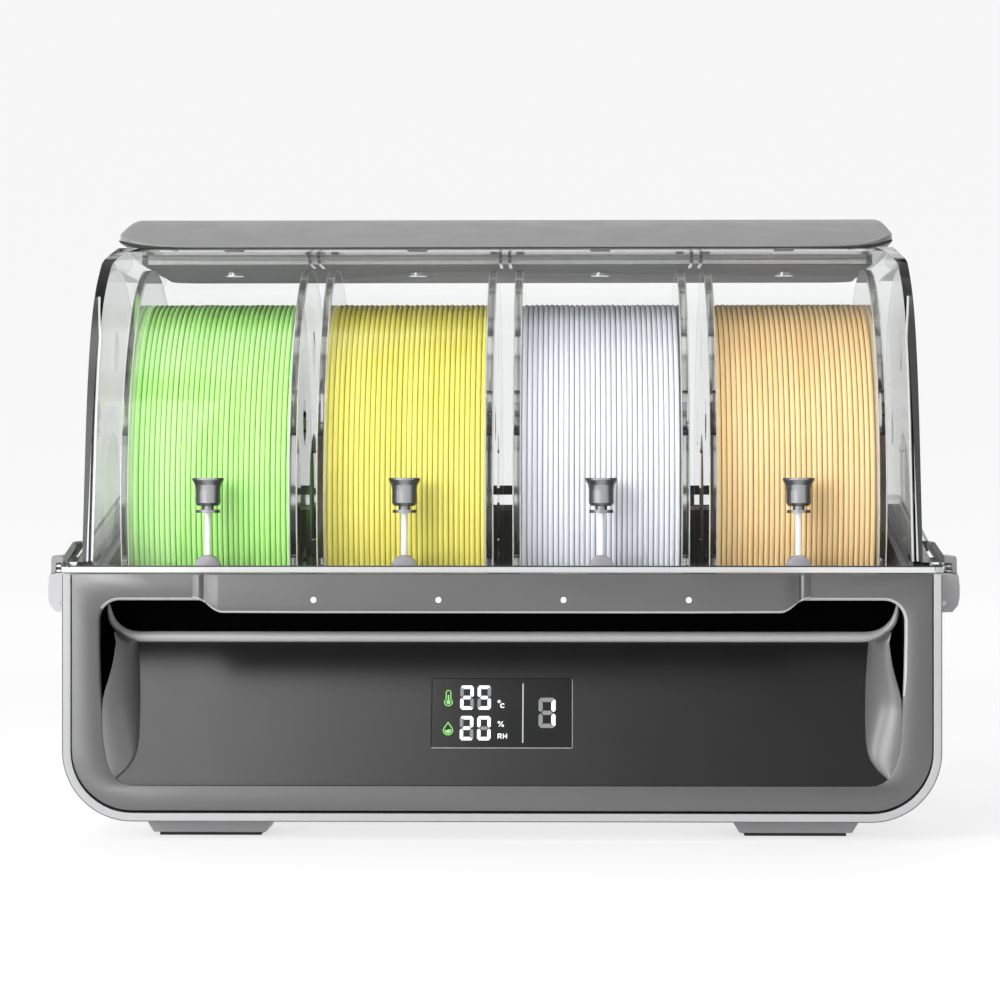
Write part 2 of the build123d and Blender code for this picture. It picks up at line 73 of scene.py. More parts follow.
def ramp(nt, fac, stops):
    r = nt.nodes.new("ShaderNodeValToRGB")
    els = r.color_ramp.elements
    while len(els) < len(stops):
        els.new(0.5)
    for e, (p, c) in zip(els, stops):
        e.position = p
        e.color = (*c, 1.0) if len(c) == 3 else c
    nt.links.new(fac, r.inputs["Fac"])
    return r.outputs["Color"]


def map_range(nt, fac, a, b):
    m = nt.nodes.new("ShaderNodeMapRange")
    m.inputs["From Min"].default_value = 0.3
    m.inputs["From Max"].default_value = 0.7
    m.inputs["To Min"].default_value = a
    m.inputs["To Max"].default_value = b
    nt.links.new(fac, m.inputs["Value"])
    return m.outputs["Result"]


def moulded(name, rgb, rough=0.45, grain=2600.0, bump=0.06, spec=0.5, vary=0.05, edge_lighten=0.0, coat=0.0, uneven=1.0):
    """Moulded plastic: fine spark-erosion grain, slow colour drift, uneven gloss and lighter edges."""
    m, nt, b = new_mat(name)
    vec = coords(nt)
    slow = noise(nt, vec, 9.0, 3.0)
    fine = noise(nt, vec, grain, 3.0, 0.65)
    lo = tuple(c * (1 - vary) for c in rgb)
    hi = tuple(min(1.0, c * (1 + vary)) for c in rgb)
    col = ramp(nt, slow, [(0.3, lo), (0.7, hi)])
    # lighter colour along sharp convex edges (Pointiness)
    if edge_lighten > 0:
        geo = nt.nodes.new("ShaderNodeNewGeometry")
        edge = ramp(nt, geo.outputs["Pointiness"], [(0.50, (0, 0, 0)), (0.56, (1, 1, 1))])
        mix = nt.nodes.new("ShaderNodeMixRGB")
        mix.blend_type = "SCREEN"
        mix.inputs["Fac"].default_value = edge_lighten
        nt.links.new(col, mix.inputs["Color1"])
        nt.links.new(edge, mix.inputs["Color2"])
        col = mix.outputs["Color"]
    nt.links.new(col, b.inputs["Base Color"])
    r = map_range(nt, noise(nt, vec, 60.0, 4.0), rough - 0.05 * uneven, rough + 0.06 * uneven)
    nt.links.new(r, b.inputs["Roughness"])
    bp = nt.nodes.new("ShaderNodeBump")
    bp.inputs["Strength"].default_value = bump
    bp.inputs["Distance"].default_value = 0.0004
    nt.links.new(fine, bp.inputs["Height"])
    nt.links.new(bp.outputs["Normal"], b.inputs["Normal"])
    b.inputs["Specular IOR Level"].default_value = spec
    if coat:
        b.inputs["Coat Weight"].default_value = coat
        b.inputs["Coat Roughness"].default_value = 0.08
    return m


def metal(name, rgb, rough=0.28, stretch=(1, 1, 1), scale=900.0):
    m, nt, b = new_mat(name)
    vec = coords(nt)
    line = noise(nt, vec, scale, 3.0, 0.6, stretch)
    col = ramp(nt, line, [(0.35, tuple(c * 0.88 for c in rgb)), (0.65, rgb)])
    nt.links.new(col, b.inputs["Base Color"])
    nt.links.new(map_range(nt, line, rough - 0.06, rough + 0.08), b.inputs["Roughness"])
    b.inputs["Metallic"].default_value = 1.0
    return m


def clear(name, rgb=(0.97, 0.98, 0.98), rough=0.0, ior=1.47, coat=0.6, graze_shade=1.0):
    """Clear injection-moulded plastic with a very faint uneven haze."""
    m, nt, b = new_mat(name)
    vec = coords(nt)
    col = ramp(nt, noise(nt, vec, 14.0, 2.0), [(0.3, tuple(c * 0.985 for c in rgb)), (0.7, rgb)])
    if graze_shade < 1.0:                 # painted shade: the colour darkens where a wall is seen almost along itself
        lw = nt.nodes.new("ShaderNodeLayerWeight")
        lw.inputs["Blend"].default_value = 0.5
        graze_darkening = ramp(nt, lw.outputs["Facing"], [(0.70, (1, 1, 1)), (0.90, (graze_shade, graze_shade, graze_shade))])
        mul = nt.nodes.new("ShaderNodeMixRGB")
        mul.blend_type = "MULTIPLY"
        mul.inputs["Fac"].default_value = 1.0
        nt.links.new(col, mul.inputs["Color1"])
        nt.links.new(graze_darkening, mul.inputs["Color2"])
        col = mul.outputs["Color"]
    nt.links.new(col, b.inputs["Base Color"])
    b.inputs["Transmission Weight"].default_value = 1.0
    b.inputs["Roughness"].default_value = rough
    b.inputs["IOR"].default_value = ior
    b.inputs["Coat Weight"].default_value = coat
    b.inputs["Coat Roughness"].default_value = 0.02
    b.inputs["Coat IOR"].default_value = 1.4
    return m


def glow(name, rgb, strength, base=(0.05, 0.05, 0.05)):
    m, nt, b = new_mat(name)
    vec = coords(nt)
    col = ramp(nt, noise(nt, vec, 1500.0, 2.0), [(0.3, tuple(c * 0.93 for c in rgb)), (0.7, rgb)])
    nt.links.new(col, b.inputs["Emission Color"])
    b.inputs["Emission Strength"].default_value = strength
    b.inputs["Base Color"].default_value = (*base, 1)
    b.inputs["Roughness"].default_value = 0.4
    return m


def strands(name, dark, light, rough=0.38):
    """Extruded filament: satin polymer with slight colour drift from strand to strand and along each strand."""
    m, nt, b = new_mat(name)
    vec = coords(nt)
    across = noise(nt, vec, 430.0, 1.0, 0.5, (1.0, 0.02, 0.02))
    along = noise(nt, vec, 40.0, 3.0)
    mul = nt.nodes.new("ShaderNodeMath")
    mul.operation = "MULTIPLY_ADD"
    mul.inputs[1].default_value = 0.6
    nt.links.new(across, mul.inputs[0])
    sc = nt.nodes.new("ShaderNodeMath")
    sc.operation = "MULTIPLY"
    sc.inputs[1].default_value = 0.4
    nt.links.new(along, sc.inputs[0])
    nt.links.new(sc.outputs[0], mul.inputs[2])
    col = ramp(nt, mul.outputs[0], [(0.3, dark), (0.7, light)])
    nt.links.new(col, b.inputs["Base Color"])
    nt.links.new(map_range(nt, along, rough - 0.04, rough + 0.06), b.inputs["Roughness"])
    b.inputs["Specular IOR Level"].default_value = 0.45
    bp = nt.nodes.new("ShaderNodeBump")
    bp.inputs["Strength"].default_value = 0.08
    bp.inputs["Distance"].default_value = 0.0002
    nt.links.new(noise(nt, vec, 1800.0, 2.0, 0.5, (0.4, 1.0, 1.0)), bp.inputs["Height"])
    nt.links.new(bp.outputs["Normal"], b.inputs["Normal"])
    return m


M = {
    "shell": moulded("shell_silver", (0.45, 0.45, 0.457), 0.38, 2400, 0.05, edge_lighten=0.03),
    "bezel": moulded("bezel_grey", (0.079, 0.079, 0.080), 0.32, 2600, 0.06, edge_lighten=0.03, spec=0.9, uneven=0.3),
    "panel": moulded("panel_grey", (0.009, 0.009, 0.0094), 0.29, 2800, 0.03, spec=0.8, uneven=0.2),
    "lip": moulded("lip_painted_highlight", (0.44, 0.44, 0.442), 0.26, 2800, 0.03, spec=0.8, uneven=0.2),
    "void": moulded("pocket_painted_shade", (0.0012, 0.0012, 0.0012), 0.9, 1500, 0.1, spec=0.02),
    "bar": moulded("bar_grey", (0.085, 0.085, 0.086), 0.34, 2600, 0.05, edge_lighten=0.04, spec=0.9),
    "tray": moulded("tray_grey", (0.10, 0.10, 0.105), 0.5, 1800, 0.12),
    "rear": moulded("rear_grey", (0.13, 0.13, 0.135), 0.5, 1800, 0.12, edge_lighten=0.04),
    "seal": moulded("seal_rubber", (0.03, 0.03, 0.031), 0.65, 1500, 0.15, spec=0.3),
    "foot": moulded("foot_grey", (0.22, 0.22, 0.225), 0.45, 2200, 0.07, edge_lighten=0.05),
    "pad": moulded("pad_rubber", (0.025, 0.025, 0.026), 0.7, 1300, 0.18, spec=0.3),
    "black": moulded("feeder_black", (0.035, 0.035, 0.036), 0.5, 1800, 0.1),
    "funnel": moulded("funnel_black", (0.018, 0.018, 0.02), 0.16, 900, 0.015, spec=0.6, coat=0.4),
    "seat": moulded("seat_grey", (0.30, 0.29, 0.32), 0.4, 2200, 0.05),
    "top": moulded("top_grey", (0.235, 0.235, 0.238), 0.42, 2600, 0.06, edge_lighten=0.03),
    "plate": moulded("plate_grey", (0.05, 0.05, 0.051), 0.7, 2200, 0.06, spec=0.1),
    "hook_pale": moulded("latch_cap_grey", (0.26, 0.26, 0.265), 0.36, 2400, 0.05),
    "latch": moulded("latch_silver", (0.42, 0.42, 0.43), 0.34, 2400, 0.05, edge_lighten=0.04),
    "hook": moulded("latch_dark", (0.035, 0.035, 0.036), 0.36, 2400, 0.05, edge_lighten=0.06),
    # light grey on lit edges of clear parts: painted highlight
    "edge_glint": moulded("clear_edge_painted_highlight", (0.62, 0.63, 0.63), 0.22, 1600, 0.02, spec=0.6, coat=0.3),
    # near-black line; under the lid flange it is painted shadow of the gap to the ring
    "line_and_gap_shadow": moulded("flange_line", (0.03, 0.03, 0.03), 0.4, 1600, 0.04),
    "outline": moulded("shell_edge_dark", (0.10, 0.10, 0.10), 0.4, 2000, 0.04),
    "edge": moulded("lid_edge_grey", (0.05, 0.05, 0.051), 0.25, 2000, 0.02),
    "screen": moulded("screen_black", (0.004, 0.0042, 0.005), 0.15, 300, 0.004, spec=1.0, uneven=0.2),
    "socket": moulded("socket_black", (0.03, 0.03, 0.03), 0.55, 1800, 0.1),
    "fitting": moulded("fitting_black", (0.045, 0.045, 0.05), 0.35, 1500, 0.05),
    "box": moulded("desiccant_box", (0.55, 0.56, 0.57), 0.42, 1600, 0.06),
    "roller": moulded("roller_rubber", (0.04, 0.04, 0.043), 0.6, 1500, 0.15, spec=0.3),
    "tube": moulded("tube_white", (0.82, 0.84, 0.84), 0.3, 1200, 0.02),
    "board": moulded("board_green", (0.02, 0.11, 0.06), 0.3, 700, 0.05),
    "fan": moulded("fan_black", (0.03, 0.03, 0.03), 0.45, 1800, 0.08),
    "steel": metal("axle_steel", (0.62, 0.62, 0.64), 0.25, (0.03, 1, 1)),
    "motor": metal("motor_steel", (0.5, 0.5, 0.52), 0.35, (1, 0.05, 1)),
    "brass": metal("gear_brass", (0.75, 0.57, 0.27), 0.28, (0.05, 1, 1)),
    "alu": metal("heater_aluminium", (0.72, 0.72, 0.74), 0.35, (1, 0.05, 1)),
    "screw": metal("screw_steel", (0.78, 0.78, 0.79), 0.2, (1, 1, 1)),
    "lid": clear("lid_clear", (0.985, 0.99, 0.99), ior=1.03, coat=0.5, graze_shade=0.64),
    "spool": clear("spool_clear", (0.77, 0.775, 0.78), ior=1.12, coat=0.7, graze_shade=0.5),
    "rim_frost": clear("spool_rim", (0.95, 0.95, 0.92), rough=0.12, ior=1.3, coat=0.8),
    # light grey put on chamfers and thin edge lines of dark parts: painted highlight
    "rim": moulded("bevel_painted_highlight", (0.42, 0.42, 0.423), 0.28, 2600, 0.03, spec=0.9),
    "cheek": moulded("cheek_grey_painted_highlight", (0.13, 0.13, 0.131), 0.36, 2600, 0.03, spec=1.0, uneven=0.15),
    "led": glow("status_light", (0.95, 0.97, 1.0), 1.6),
    "white_lit": glow("display_white", (0.95, 0.97, 1.0), 1.5),
    "grey_lit": glow("display_dim", (0.8, 0.82, 0.85), 0.32),
    "green_lit": glow("display_green", (0.30, 0.85, 0.18), 1.0),
    "line_lit": glow("display_line", (0.8, 0.82, 0.85), 0.75),
}
# funnel: base colour turns grey where the surface faces the viewer, a painted highlight down its middle
m, nt, b = new_mat("funnel_black")
lw = nt.nodes.new("ShaderNodeLayerWeight")
lw.inputs["Blend"].default_value = 0.5
fvec = coords(nt)
funnel_facing_highlight = ramp(nt, lw.outputs["Facing"], [(0.0, (0.30, 0.30, 0.31)), (0.10, (0.26, 0.26, 0.27)), (0.22, (0.05, 0.05, 0.055)),
                                       (0.6, (0.02, 0.02, 0.022))])
nt.links.new(funnel_facing_highlight, b.inputs["Base Color"])
nt.links.new(map_range(nt, noise(nt, fvec, 400.0, 3.0), 0.14, 0.24), b.inputs["Roughness"])
fb = nt.nodes.new("ShaderNodeBump")
fb.inputs["Strength"].default_value = 0.03
fb.inputs["Distance"].default_value = 0.0003
nt.links.new(noise(nt, fvec, 1400.0, 3.0), fb.inputs["Height"])
nt.links.new(fb.outputs["Normal"], b.inputs["Normal"])
M["funnel"] = m
WIND = [
    strands("filament_green", (0.42, 0.86, 0.21), (0.53, 0.96, 0.31)),
    strands("filament_yellow", (0.82, 0.74, 0.12), (0.93, 0.86, 0.20)),
    strands("filament_silver", (0.76, 0.78, 0.85), (0.86, 0.88, 0.93)),
    strands("filament_orange", (0.88, 0.60, 0.27), (0.95, 0.71, 0.37)),
]

NODE_MAT = {
    "outer_shell": "shell", "front_bezel": "bezel", "display_panel": "panel", "screen_glass": "screen",
    "display_board": "board", "light_bar": "bar", "status_light_pipes": "led", "inner_tray": "tray",
    "rim_seal": "seal", "rear_panel": "rear", "power_socket": "socket", "feet": "foot", "foot_pads": "pad",
    "feeder_housings": "black", "feeder_motors": "motor", "guide_tubes": "tube", "inlet_funnels": "funnel",
    "inlet_seats": "seat", "outlet_couplers": "fitting", "main_board": "board", "fan_frame": "fan",
    "heater": "alu", "desiccant_boxes": "box", "humidity_sensor": "board", "roller_axles": "steel",
    "pivot_pins": "steel", "fan_rotor": "fan", "lid_shell": "lid", "top_panel": "top",
    "lid_inner_plate": "plate", "lid_screws": "screw", "lid_hinge_bar": "plate",
    "latch_lever_left": "latch", "latch_lever_right": "latch", "latch_hook_left": "hook", "latch_hook_right": "hook",
}
for i in range(1, 5):
    NODE_MAT[f"spool_{i}"] = "spool"
    NODE_MAT[f"front_roller_{i}"] = "roller"
    NODE_MAT[f"rear_roller_{i}"] = "roller"
    NODE_MAT[f"drive_gear_{i}"] = "brass"
    NODE_MAT[f"pinch_wheel_{i}"] = "steel"


def dress(o, mat, angle=32):
    o.data.materials.clear()
    o.data.materials.append(mat)
    o.data.polygons.foreach_set("use_smooth", [True] * len(o.data.polygons))
    if o.data.has_custom_normals:
        pass
    else:
        o.data.set_sharp_from_angle(angle=math.radians(angle))


for n, o in NODES.items():
    if n.startswith("filament_"):
        dress(o, WIND[int(n[-1]) - 1])
    else:
        dress(o, M[NODE_MAT[n]])


# ------------------------------------------------------------------ mesh helpers
def V(x, d, z):
    """A point from the CAD's own measures: X, distance behind the front face, height, in mm."""
    return Vector((x / 1000.0, d / 1000.0 - MID, z / 1000.0))


def bake(o, angle=32):
    """Turn the modifiers into mesh and mark the sharp edges again."""
    bpy.context.view_layer.update()
    dg = bpy.context.evaluated_depsgraph_get()
    me = bpy.data.meshes.new_from_object(o.evaluated_get(dg))
    o.modifiers.clear()
    o.data = me
    me.polygons.foreach_set("use_smooth", [True] * len(me.polygons))
    me.set_sharp_from_angle(angle=math.radians(angle))


def mesh_obj(name, verts, faces, mats, body, repl=(), smooth=True, angle=32, face_mats=None, front=None, thick=0.0):
    me = bpy.data.meshes.new(name)
    me.from_pydata([tuple(v) for v in verts], [], faces)
    for m in (mats if isinstance(mats, (list, tuple)) else [mats]):
        me.materials.append(m)
    if face_mats:
        me.polygons.foreach_set("material_index", face_mats)
    bm = bmesh.new()
    bm.from_mesh(me)
    bmesh.ops.remove_doubles(bm, verts=bm.verts, dist=1e-6)
    bmesh.ops.recalc_face_normals(bm, faces=bm.faces)
    if front is not None:
        if sum((f.normal.dot(front) * f.calc_area() for f in bm.faces)) < 0:
            bmesh.ops.reverse_faces(bm, faces=bm.faces)
    elif bm.calc_volume(signed=True) < 0:
        bmesh.ops.reverse_faces(bm, faces=bm.faces)
    bm.to_mesh(me)
    bm.free()
    me.validate()
    if smooth:
        me.polygons.foreach_set("use_smooth", [True] * len(me.polygons))
        me.set_sharp_from_angle(angle=math.radians(angle))
    o = bpy.data.objects.new(name, me)
    bpy.context.scene.collection.objects.link(o)
    if thick:
        sm = o.modifiers.new("thickness", "SOLIDIFY")
        sm.thickness = thick
        sm.offset = -1.0
        bake(o, angle)
    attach(o, body)
    if repl:
        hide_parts(*repl)
    return o


def lathe_x(profile, cx, cd, cz, seg=96, closed=True):
    """Turn (x, r) points in mm about an X axis through (cd, cz). closed: the profile is a closed loop."""
    n = len(profile)
    verts = []
    for k in range(seg):
        a = 2 * math.pi * k / seg
        c, s = math.cos(a), math.sin(a)
        for x, r in profile:
            verts.append(V(cx + x, cd + r * c, cz + r * s))
    faces = []
    last = n if closed else n - 1
    for k in range(seg):
        k2 = (k + 1) % seg
        for i in range(last):
            j = (i + 1) % n
            faces.append((k * n + i, k * n + j, k2 * n + j, k2 * n + i))
    return verts, faces


def lathe_z(profile, cx, cd, seg=64):
    n = len(profile)
    verts = []
    for k in range(seg):
        a = 2 * math.pi * k / seg
        for r, z in profile:
            verts.append(V(cx + r * math.cos(a), cd + r * math.sin(a), z))
    faces = []
    for k in range(seg):
        k2 = (k + 1) % seg
        for i in range(n):
            j = (i + 1) % n
            faces.append((k * n + i, k * n + j, k2 * n + j, k2 * n + i))
    return verts, faces


SLOTS = [-123.0, -41.0, 41.0, 123.0]

# ------------------------------------------------------------------ windings, strand by strand
N_STR = 30
# darker copies of the filament colours for the faces between strands: painted shade in the grooves
GROOVE_SHADE = [
    strands("groove_shade_green", (0.10, 0.34, 0.045), (0.13, 0.40, 0.06), 0.55),
    strands("groove_shade_yellow", (0.36, 0.32, 0.05), (0.42, 0.38, 0.07), 0.55),
    strands("groove_shade_silver", (0.24, 0.25, 0.28), (0.29, 0.30, 0.33), 0.55),
    strands("groove_shade_orange", (0.34, 0.17, 0.06), (0.40, 0.21, 0.08), 0.55),
]
for i, cx in enumerate(SLOTS):
    rnd = random.Random(11 + i)
    half = 33.4
    pitch = 2 * half / N_STR
    prof = []
    for k in range(N_STR):
        c = -half + (k + 0.5) * pitch + rnd.uniform(-0.05, 0.05)
        top = 84.95 - rnd.uniform(0.0, 0.22)
        rr = pitch * 0.5
        for t in (-0.985, -0.84, -0.5, 0.0, 0.5, 0.84, 0.985):
            prof.append((c + t * rr, top - rr + rr * math.sqrt(max(0.0, 1 - t * t)) * 0.92 + rr * 0.08))
    prof = [(-half, prof[0][1] - 0.6)] + prof + [(half, prof[-1][1] - 0.6), (half, 40.15), (-half, 40.15)]
    v, f = lathe_x(prof, cx, 138.0, 141.0, 144)
    npf = len(prof)
    # faces at the strand flanks and between strands take the painted-shade groove material
    fm = []
    for q in range(len(f)):
        k = q % npf
        w = (k - 1) % 7
        fm.append(1 if 1 <= k < npf - 3 and w in (0, 5, 6) else 0)
    mesh_obj(f"winding_{i + 1}", v, f, [WIND[i], GROOVE_SHADE[i]], f"spool_{i + 1}", [f"filament_{i + 1}"], angle=50, face_mats=fm)

# ------------------------------------------------------------------ display on the leaning panel
LEAN = math.radians(25.346)
T27 = 27.0 / 57.0
SCR_Z = 51.6
ud = Vector((0, math.sin(LEAN), math.cos(LEAN)))       # up along the panel (d, z)
nd = Vector((0, -math.cos(LEAN), math.sin(LEAN)))      # out of the panel
scr_o = V(0, (SCR_Z - 23.0) * T27, SCR_Z)


def on_screen(px, py, lift=0.02):
    u = (px - 502.0) / 2.438
    v = (712.25 - py) / 2.22
    return scr_o + Vector((u / 1000, 0, 0)) + ud * (v / 1000) + nd * (lift / 1000)


def flat_shape(name, polys, mat, lift=0.03, thick=0.05):
    verts, faces = [], []
    for poly in polys:
        b = len(verts)
        n = len(poly)
        for px, py in poly:
            verts.append(on_screen(px, py, lift))
        for px, py in poly:
            verts.append(on_screen(px, py, lift - thick))
        faces.append(tuple(range(b, b + n)))
        faces.append(tuple(range(b + 2 * n - 1, b + n - 1, -1)))
        for i in range(n):
            j = (i + 1) % n
            faces.append((b + i, b + j, b + n + j, b + n + i))
    return mesh_obj(name, verts, faces, mat, "base", smooth=False)


def seg7(x0, y0, x1, y1, t, on):
    """Seven-segment digit: lists of lit and unlit segment polygons."""
    ym = (y0 + y1) / 2
    g = t * 0.16
    c = t * 0.42
    seg = {
        "a": [(x0 + c + g, y0), (x1 - c - g, y0), (x1 - g - 0.1, y0 + c), (x1 - t - g, y0 + t), (x0 + t + g, y0 + t), (x0 + g + 0.1, y0 + c)],
        "d": [(x0 + t + g, y1 - t), (x1 - t - g, y1 - t), (x1 - g - 0.1, y1 - c), (x1 - c - g, y1), (x0 + c + g, y1), (x0 + g + 0.1, y1 - c)],
        "g": [(x0 + t * 0.6 + g, ym), (x0 + t + g, ym - t / 2), (x1 - t - g, ym - t / 2), (x1 - t * 0.6 - g, ym), (x1 - t - g, ym + t / 2), (x0 + t + g, ym + t / 2)],
        "f": [(x0, y0 + c + g), (x0 + c, y0 + c * 0.6 + g), (x0 + t, y0 + t + g), (x0 + t, ym - t / 2 - g), (x0 + t * 0.5, ym - g), (x0, ym - t * 0.4 - g)],
        "b": [(x1, y0 + c + g), (x1 - c, y0 + c * 0.6 + g), (x1 - t, y0 + t + g), (x1 - t, ym - t / 2 - g), (x1 - t * 0.5, ym - g), (x1, ym - t * 0.4 - g)],
        "e": [(x0, y1 - c - g), (x0 + c, y1 - c * 0.6 - g), (x0 + t, y1 - t - g), (x0 + t, ym + t / 2 + g), (x0 + t * 0.5, ym + g), (x0, ym + t * 0.4 + g)],
        "c": [(x1, y1 - c - g), (x1 - c, y1 - c * 0.6 - g), (x1 - t, y1 - t - g), (x1 - t, ym + t / 2 + g), (x1 - t * 0.5, ym + g), (x1, ym + t * 0.4 + g)],
    }
    return [seg[k] for k in seg if k in on], [seg[k] for k in seg if k not in on]


DIG = {"0": "abcdef", "1": "bc", "2": "abged", "5": "afgcd"}
lit, dim = [], []
for x0, y0, x1, y1, t, dgt in ((460.3, 685.2, 473.8, 709.0, 3.4, "2"), (477.6, 685.2, 491.1, 709.0, 3.4, "5"),
                               (460.3, 715.2, 473.8, 739.0, 3.4, "2"), (477.6, 715.2, 491.1, 739.0, 3.4, "0")):
    a, b = seg7(x0, y0, x1, y1, t, DIG[dgt])
    lit += a
    dim += b
a, b = seg7(538.8, 697.2, 555.8, 726.8, 4.2, DIG["1"])
lit += a
dim += b


def arc_band(cx, cy, r, w, a0, a1, n=14, ky=0.911):
    out = []
    for k in range(n + 1):
        t = math.radians(a0 + (a1 - a0) * k / n)
        out.append((cx + (r + w / 2) * math.cos(t), cy + (r + w / 2) * math.sin(t) * ky))
    for k in range(n, -1, -1):
        t = math.radians(a0 + (a1 - a0) * k / n)
        out.append((cx + (r - w / 2) * math.cos(t), cy + (r - w / 2) * math.sin(t) * ky))
    return out


def bar_poly(x0, y0, x1, y1, w):
    dx, dy = x1 - x0, y1 - y0
    L = math.hypot(dx, dy)
    nx, ny = -dy / L * w / 2, dx / L * w / 2
    return [(x0 + nx, y0 + ny), (x1 + nx, y1 + ny), (x1 - nx, y1 - ny), (x0 - nx, y0 - ny)]


# degree and percent marks
lit.append(arc_band(499.3, 700.9, 1.2, 0.8, 0, 180))
lit.append(arc_band(499.3, 700.9, 1.2, 0.8, 180, 360))
lit.append(arc_band(502.9, 705.0, 2.0, 1.1, 40, 320))
for c in ((499.3, 721.4), (503.1, 724.6)):
    lit.append(arc_band(c[0], c[1], 0.9, 0.8, 0, 180))
    lit.append(arc_band(c[0], c[1], 0.9, 0.8, 180, 360))
lit.append(bar_poly(499.3, 725.4, 503.2, 720.4, 0.8))
# two small unit marks under the percent sign, as plain bars
lit += [bar_poly(498.6, 732.4, 498.6, 737.2, 1.0), bar_poly(498.6, 732.7, 501.4, 732.7, 0.9),
        bar_poly(501.5, 732.6, 501.5, 735.0, 0.9), bar_poly(498.6, 735.0, 501.4, 735.0, 0.8),
        bar_poly(500.1, 735.0, 501.8, 737.2, 0.9),
        bar_poly(503.8, 732.4, 503.8, 737.2, 1.0), bar_poly(507.0, 732.4, 507.0, 737.2, 1.0),
        bar_poly(503.8, 734.8, 507.0, 734.8, 0.9)]
flat_shape("display_digits", lit, M["white_lit"])
flat_shape("display_unlit_segments", dim, M["grey_lit"], 0.025)
flat_shape("display_divider", [bar_poly(523.2, 683.2, 523.2, 741.4, 1.25)], M["line_lit"])
# thin light-grey lines along the bottom and right edge of the display window: painted highlight
flat_shape("display_frame_lines", [bar_poly(432.0, 746.4, 572.0, 746.4, 0.7), bar_poly(572.6, 679.0, 572.6, 746.4, 0.6)], M["rim"], 0.03)

# thermometer and drop icons: outline and filling
green = []
cx, cy = 448.5, 701.6
green.append(arc_band(cx, cy, 3.9, 1.0, -52, 232, 22))
green.append(bar_poly(cx - 2.35, 698.6, cx - 2.35, 692.2, 1.0))
green.append(bar_poly(cx + 2.35, 698.6, cx + 2.35, 692.2, 1.0))
green.append(arc_band(cx, 692.2, 2.35, 1.0, 180, 360, 12))
green.append(arc_band(cx, cy, 1.1, 2.2, 0, 180, 10))
green.append(arc_band(cx, cy, 1.1, 2.2, 180, 360, 10))
green.append(bar_poly(cx, 700.6, cx, 694.5, 1.5))
cx, cy = 448.5, 729.4
green.append(arc_band(cx, cy, 4.6, 1.0, -28, 208, 22))
green.append(bar_poly(cx - 4.1, 727.3, cx, 721.4, 1.0))
green.append(bar_poly(cx + 4.1, 727.3, cx, 721.4, 1.0))
green.append([(cx + 3.3 * math.cos(math.radians(t)), cy + 3.0 * math.sin(math.radians(t))) for t in range(-18, 199, 12)]
             + [(cx - 1.6, cy - 0.2), (cx + 0.8, cy - 1.3)])
flat_shape("display_icons", green, M["green_lit"])


# ------------------------------------------------------------------ front: ring, pocket, lip, bar
def interp(xs, ys, x):
    if x <= xs[0]:
        return ys[0]
    for a in range(len(xs) - 1):
        if x <= xs[a + 1]:
            t = (x - xs[a]) / (xs[a + 1] - xs[a])
            return ys[a] + (ys[a + 1] - ys[a]) * t
    return ys[-1]


def smooth_poly(pts, n=4):
    """Open Catmull-Rom through the points."""
    out = []
    P = [pts[0]] + list(pts) + [pts[-1]]
    for i in range(1, len(P) - 2):
        p0, p1, p2, p3 = P[i - 1], P[i], P[i + 1], P[i + 2]
        for k in range(n):
            t = k / n
            out.append(tuple(0.5 * ((2 * b) + (-a + c) * t + (2 * a - 5 * b + 4 * c - d) * t * t
                                    + (-a + 3 * b - 3 * c + d) * t ** 3)
                             for a, b, c, d in zip(p0, p1, p2, p3)))
    out.append(tuple(pts[-1]))
    return out


# inner outline of the ring, left half from the top middle to the bottom middle (x, z)
inner_left = [(-112.0, 98.15), (-150.0, 98.15)]
for k in range(0, 9):
    a = math.radians(90 * k / 8)
    inner_left.append((-155.6 - 8.2 * math.sin(a), 89.95 + 8.2 * math.cos(a)))
inner_left += smooth_poly([(-163.8, 82.0), (-163.4, 65.5), (-162.9, 54.0), (-162.5, 44.0), (-161.4, 35.5), (-159.6, 29.6),
                           (-157.2, 25.8), (-154.0, 23.6), (-150.0, 22.75)], 4)
inner_left += [(-140.0, 22.7), (-100.0, 22.7), (-50.0, 22.7)]
inner_loop = [(0.0, 98.15)] + inner_left + [(0.0, 22.7)] + [(-x, z) for x, z in inner_left[::-1]]
outer_left = [(-60.0, 109.05), (-120.0, 109.05), (-175.1, 109.05), (-175.1, 60.0), (-175.1, 37.4)]
for k in range(1, 17):
    a = math.radians(90 * k / 16)
    outer_left.append((-150.2 - 24.9 * math.cos(a), 37.4 - 24.9 * math.sin(a)))
outer_left += [(-90.0, 12.5), (-40.0, 12.5)]
outer_loop = [(0.0, 109.05)] + outer_left + [(0.0, 12.5)] + [(-x, z) for x, z in outer_left[::-1]]


def ray_hit(loop, ang, c=(0.0, 62.0)):
    dx, dz = math.cos(ang), math.sin(ang)
    best = None
    for i in range(len(loop)):
        x1, z1 = loop[i][0] - c[0], loop[i][1] - c[1]
        x2, z2 = loop[(i + 1) % len(loop)][0] - c[0], loop[(i + 1) % len(loop)][1] - c[1]
        ex, ez = x2 - x1, z2 - z1
        den = dx * ez - dz * ex
        if abs(den) < 1e-12:
            continue
        t = (x1 * ez - z1 * ex) / den
        u = (x1 * dz - z1 * dx) / den
        if t > 0 and -1e-9 <= u <= 1 + 1e-9 and (best is None or t > best):
            best = t
    return (c[0] + dx * best, c[1] + dz * best)


angs = sorted({round(math.atan2(z - 62.0, x), 6) for x, z in inner_loop + outer_loop})
ring_in = [ray_hit(inner_loop, a) for a in angs]
ring_ou = [ray_hit(outer_loop, a) for a in angs]
NR = len(angs)


def inset(loop, amount):
    """Move every point of a loop along its local normal, to the outside for a positive amount."""
    out = []
    n = len(loop)
    for i in range(n):
        x0, z0 = loop[i - 1]
        x2, z2 = loop[(i + 1) % n]
        tx, tz = x2 - x0, z2 - z0
        L = math.hypot(tx, tz) or 1.0
        am = amount(loop[i]) if callable(amount) else amount
        out.append((loop[i][0] + tz / L * am, loop[i][1] - tx / L * am))
    return out


